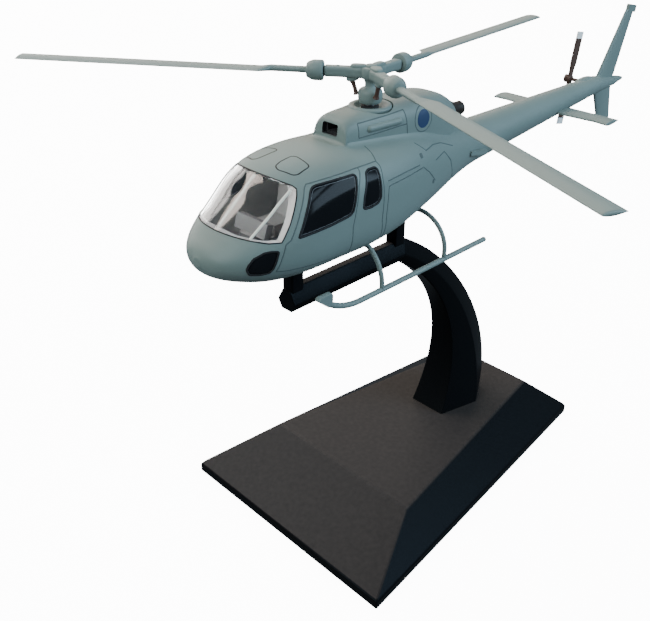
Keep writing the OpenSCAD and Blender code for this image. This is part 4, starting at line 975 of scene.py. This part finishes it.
y = np.linspace(tailSet["boom"][0][0], tailSet["boom"][1][0], 60)
bodyPiece("tailBoom", boomGrid(tailSet["boom"], y), 40, "tail_boom")
start, (endY, endZ, endRadius) = tailSet["fromBoom"], tailSet["end"]
grid = boomGrid([start, tailSet["end"]], np.linspace(start[0], endY, 14))
finBody = ringPiece("finBody", grid, 40)
for part in ("upper", "lower"):
    cutWith(finBody, ringPiece("fin", finGrid(tailSet[part]), 40), "UNION", 40)
cutWith(finBody, platePiece("finTip", rounded(tailSet["block"], 0.35), 0, 0.5), "UNION", 40)
dress(finBody, "airframe", "bodyPaint", "tail_fin")
coneAt = endY + tailSet["coneStep"][0]
cone = [(coneAt, endZ, endRadius - tailSet["coneStep"][1])]
cone += [(y, endZ + drop, r) for y, drop, r in tailSet["cone"]]
y = np.concatenate([np.linspace(coneAt, 109.3, 16), np.linspace(109.5, 110.4, 8)])
bodyPiece("tailCone", boomGrid(cone, y), 40, "tail_cone")
bulge = tailSet["bulge"]
grid = lumpGrid(datum + bulge["middle"], np.diag(bulge["half"]), 2.2, 24, 48)
bodyPiece("gearboxFairing", grid, 60)


# The stabiliser: the same wing loop across the span, its front edge cut back towards both tips.
def stabGrid(s):
    c, half = wingLoop()
    x = np.concatenate([np.linspace(0, s["bend"], 12), np.linspace(13.9, s["tip"], 12),
                        s["tip"] + s["closing"] * np.sin(np.linspace(0.2, 1.57, 6))])
    x = np.concatenate([-x[:0:-1], x])[:, None]
    at, front, rear = np.array(s["rows"]).T
    close = quarterRound((np.abs(x) - s["tip"]) / s["closing"], 0.02)
    front, rear = np.interp(np.abs(x), at, front), np.interp(np.abs(x), at, rear)
    return np.stack([x + 0 * c, front + (rear - front) * c, s["z"] + s["thick"] * close * half], -1) + datum


bodyPiece("stabiliser", stabGrid(tailSet["stab"]), 40, "stabiliser")
tailRotor = dict(at=(-5.6, 90.7, -18.2), lean=8.7, pitch=10.0, radius=12.75, neck=1.9, chord=2.55, thick=0.8,
                 white=10.9, closing=0.2, widen=(2.4, 2.2),
                 hub=[(0.5, -0.55), (0.95, -0.55), (1.1, -0.4), (1.1, 0.4), (0.95, 0.55), (0.5, 0.55)])


# Tail rotor blade: wing sections along its radius, a slim neck widening to the full chord.
def tailBladeGrid(s, flip):
    c, half = wingLoop()
    end, (start, run) = s["closing"], s["widen"]
    r = np.concatenate([np.linspace(0.4, start, 6), np.linspace(2.6, 4.6, 10),
                        np.linspace(5.2, s["white"], 10), np.linspace(s["white"] + 0.2, s["radius"] - end, 6),
                        s["radius"] - end * (1 - np.sin(np.linspace(0.3, 1.57, 5)))])[:, None]
    widen = np.sin(np.clip((r - start) / run, 0, 1) * math.pi / 2) ** 2
    chord = s["neck"] + (s["chord"] - s["neck"]) * widen
    close = quarterRound((r - s["radius"] + end) / end, 0.03)
    lean, pitch = math.radians(s["lean"]), math.radians(s["pitch"])
    e = flip * np.array([0, math.sin(lean), math.cos(lean)])
    f = flip * np.array([0, math.cos(lean), -math.sin(lean)])
    x = flip * np.array([1.0, 0, 0])
    flat = math.cos(pitch) * f + math.sin(pitch) * x
    face = math.cos(pitch) * x - math.sin(pitch) * f
    return (datum + s["at"] + r[..., None] * e + (chord * (c - 0.5))[..., None] * flat
            + (s["thick"] * close * half)[..., None] * face)


middle = datum + tailRotor["at"]
rotor = turnedPiece("tailRotor", tailRotor["hub"], middle, (1, 0, 0), 48, 40)
for flip in (1, -1):
    cutWith(rotor, ringPiece("tailBlade", tailBladeGrid(tailRotor, flip), 50), "UNION", 40)
dress(rotor, "tail_rotor", "brownMoulding", "tail_rotor_blades")
radius = np.linalg.norm(faceValues(rotor, "center")[:, 1:] / mm - middle[1:], axis=1)
secondFinish(rotor, "tipWhite", radius > tailRotor["white"])

# Exhaust: circles along a line that dips aft, out over a flared lip and back inside the bore.
horn = dict(y=[24.6, 25.2, 26, 27, 28, 29, 29.6, 30.3, 31.1, 31.85, 32.2, 32.2, 31.7, 31, 29],
            radius=[3.35, 3.25, 2.95, 2.45, 2.0, 1.64, 1.5, 1.4, 1.42, 1.52, 1.6, 1.44, 1.27, 1.12, 1.0],
            ends=[24.6, 32.2], z=(-12.3, -13.3))
y = np.array(horn["y"], float)
grid = hoopGrid(y, np.interp(y, horn["ends"], horn["z"]), np.array(horn["radius"]), 64)
dress(ringPiece("exhaustHorn", grid, 40), "airframe", "sootBrown", "exhaust_nozzle")
print("tail made")

# Struts: y, height of the peg, lean at the peg in degrees, share of the height taken by the curve.
gear = dict(x=15.1, z=-39.5, skidRadius=0.62, strutRadius=0.52, end=26.2, endRun=0.6, bend=-15.8,
            bendRadius=16.0, turn=35.0, pegLong=3, footDeep=0.5, toeCorner=0.3, toeRim=0.2,
            toe=[(-3.15, 1.72), (-2.65, 2.27), (0.62, 2.27), (0.98, 1.8), (0.82, -0.45), (-0.1, -0.75)],
            struts=dict(front=(-9.4, -31.0, 32.0, 0.98), rear=(10.9, -30.2, 0.0, 0.85)))
for side, word in sides:
    a = np.radians(np.linspace(0, gear["turn"], 24))[1:]
    y = np.concatenate([gear["end"] - gear["endRun"] * (1 - np.cos(np.linspace(0, 1.5, 8))),
                        np.linspace(gear["end"], gear["bend"], 40)[1:],
                        gear["bend"] - gear["bendRadius"] * np.sin(a)])
    z = np.full(len(y), gear["z"])
    z[-len(a):] += gear["bendRadius"] * (1 - np.cos(a))
    path = np.stack([np.full(len(y), side * gear["x"]), y, z], 1)
    thick = gear["skidRadius"] * roundEnds(path[::-1], gear["endRun"], False)[::-1]
    skid = ringPiece("skid" + word, tubeGrid(path, thick, (1, 0, 0)) + datum, 50)
    toe = rounded(np.array(gear["toe"]) + path[-1, 1:], gear["toeCorner"])
    toe = platePiece("toe", toe, side * gear["x"], gear["skidRadius"], gear["toeRim"])
    cutWith(skid, toe, "UNION", 40)
    dress(skid, "airframe", "bodyPaint", "skid_" + word.lower())
    for place, (y, pegZ, lean, share) in gear["struts"].items():
        lean, foot = math.radians(lean), gear["z"] + gear["skidRadius"]
        r = share * (pegZ - foot) / math.cos(lean)
        t = np.linspace(lean, math.pi / 2, 30)
        x = gear["x"] - r * (1 - np.sin(t))
        z = pegZ - r * math.cos(lean) + r * np.cos(t)
        peg = np.linspace(x[0] - gear["pegLong"], x[0], 6)[:-1]
        x = np.concatenate([peg, x, [gear["x"], gear["x"]]])
        z = np.concatenate([np.full(len(peg), pegZ), z, [foot, foot - gear["footDeep"]]])
        path = np.stack([side * x, np.full(len(x), y), z], 1)
        tube = tubeGrid(path, gear["strutRadius"], (0, 1, 0)) + datum
        bodyPiece("strut" + place.title() + word, tube, 50, "strut_" + place + "_" + word.lower())
print("landing gear made")

# CAD nodes that keep their shape, by finish.
keepLooks = {
    "bodyPaint": ["side_step"],
    "steel": ["arm_screws", "belly_screw", "tail_bush", "mast_shaft", "mast_clip"],
    "cabinTrim": ["cabin_floor", "cabin_bulkhead", "instrument_console"],
    "blackMoulding": ["intake_duct", "mast_bush"],
    "seatMoulding": ["pilot_seat", "copilot_seat", "rear_bench"],
    "brownMoulding": ["tail_rotor_shaft", "tail_rotor_cap"],
}
for look, names in keepLooks.items():
    for name in names:
        nodes[name].data.materials.clear()
        nodes[name].data.materials.append(paint[look])
print("kept nodes dressed")

stageSet = dict(floor=3.0, floorZ=-0.02, glow=12.0, sky=0.25, backdrop=14.0, aim=[0, 0, 0.07], lights=dict(
    key=dict(at=(-0.95, 0.3, 1.3), power=11.0, size=1.1, tint=(1, 0.97, 0.92)),
    front=dict(at=(0.0, -1.2, 0.85), power=15.0, size=0.75, tint=(0.88, 0.98, 1)),
    fill=dict(at=(0.8, 0.5, 0.56), power=14.0, size=0.6, tint=(0.58, 0.8, 1)),
    back=dict(at=(-0.85, 0.8, 0.72), power=7.0, size=1.0, tint=(1, 0.8, 0.62)),
    side=dict(at=(-1.2, 0.12, 0.36), power=9.0, size=0.75, tint=(1, 0.94, 0.89)),
    glint=dict(at=(-0.9, -0.35, 1.12), power=10.0, size=0.6, tint=(1, 0.87, 0.77))))
n = 24
u = np.linspace(-0.5, 0.5, n) * stageSet["floor"] / mm
gx, gy = np.meshgrid(u, u, indexing="ij")
points = np.stack([gx, gy, np.full_like(gx, stageSet["floorZ"])], -1).reshape(-1, 3)
floor = makePiece("floor", points, gridQuads(n, n))
paleFloor = tones(None, (0.74, 0.74, 0.74), (0.8, 0.8, 0.8), (0.7, 0.85), 0.02, 0.0, cloudSize=4,
                  fixed={"Emission Strength": stageSet["glow"]})
floor.data.materials.append(finishMaterial("paleFloor", paleFloor))
floor.visible_diffuse = floor.visible_glossy = False  # the lit floor is a backdrop and throws no light back


def softLight(name, at, power, size, tint):
    data = bpy.data.lights.new(name, "AREA")
    data.energy, data.size, data.color = power, size, tint
    lamp = bpy.data.objects.new(name, data)
    bpy.context.scene.collection.objects.link(lamp)
    back = np.asarray(at, float) - stageSet["aim"]
    back /= np.linalg.norm(back)
    right = np.cross([0, 0, 1], back)
    right /= np.linalg.norm(right)
    turn = np.column_stack([right, np.cross(back, right), back])
    lamp.matrix_world = Matrix.Translation(at) @ Matrix(turn.tolist()).to_4x4()


for name, lamp in stageSet["lights"].items():
    softLight(name + "Light", **lamp)
world = bpy.data.worlds.new("studio")
bpy.context.scene.world = world
world.use_nodes = True
tree = world.node_tree
sky = tree.nodes["Background"]
kinds = ["Background", "MixShader", "LightPath"]
wall, pick, path = (tree.nodes.new("ShaderNode" + k) for k in kinds)
preset(sky, {"Color": (0.72, 0.87, 1, 1), "Strength": stageSet["sky"]})
preset(wall, {"Color": (1, 1, 1, 1), "Strength": stageSet["backdrop"]})
wire(tree, (path, "Is Camera Ray", pick, 0), (sky, 0, pick, 1), (wall, 0, pick, 2),
     (pick, 0, tree.nodes["World Output"], "Surface"))

cameraSet = dict(place=(112.12, -144.42, 151.49), back=(0.6102, -0.6078, 0.5081), turn=45.1, roll=0.8,
                 focalPixels=826.9, pictureWide=650, sensor=36.0, clip=0.005)
back = np.array(cameraSet["back"]) / np.linalg.norm(cameraSet["back"])
turn, roll = math.radians(cameraSet["turn"]), math.radians(cameraSet["roll"])
right = np.array([math.cos(turn), math.sin(turn), 0.0])
top = np.cross(back, right)
right, top = math.cos(roll) * right + math.sin(roll) * top, -math.sin(roll) * right + math.cos(roll) * top
lens = bpy.data.cameras.new("camera")
lens.sensor_fit, lens.sensor_width, lens.clip_start = "HORIZONTAL", cameraSet["sensor"], cameraSet["clip"]
lens.lens = cameraSet["focalPixels"] / cameraSet["pictureWide"] * cameraSet["sensor"]
camera = bpy.data.objects.new("camera", lens)
bpy.context.scene.collection.objects.link(camera)
turned = Matrix(np.column_stack([right, top, back]).tolist()).to_4x4()
camera.matrix_world = Matrix.Translation(np.array(cameraSet["place"]) * mm) @ turned
bpy.context.scene.camera = camera
print("stage and camera set")
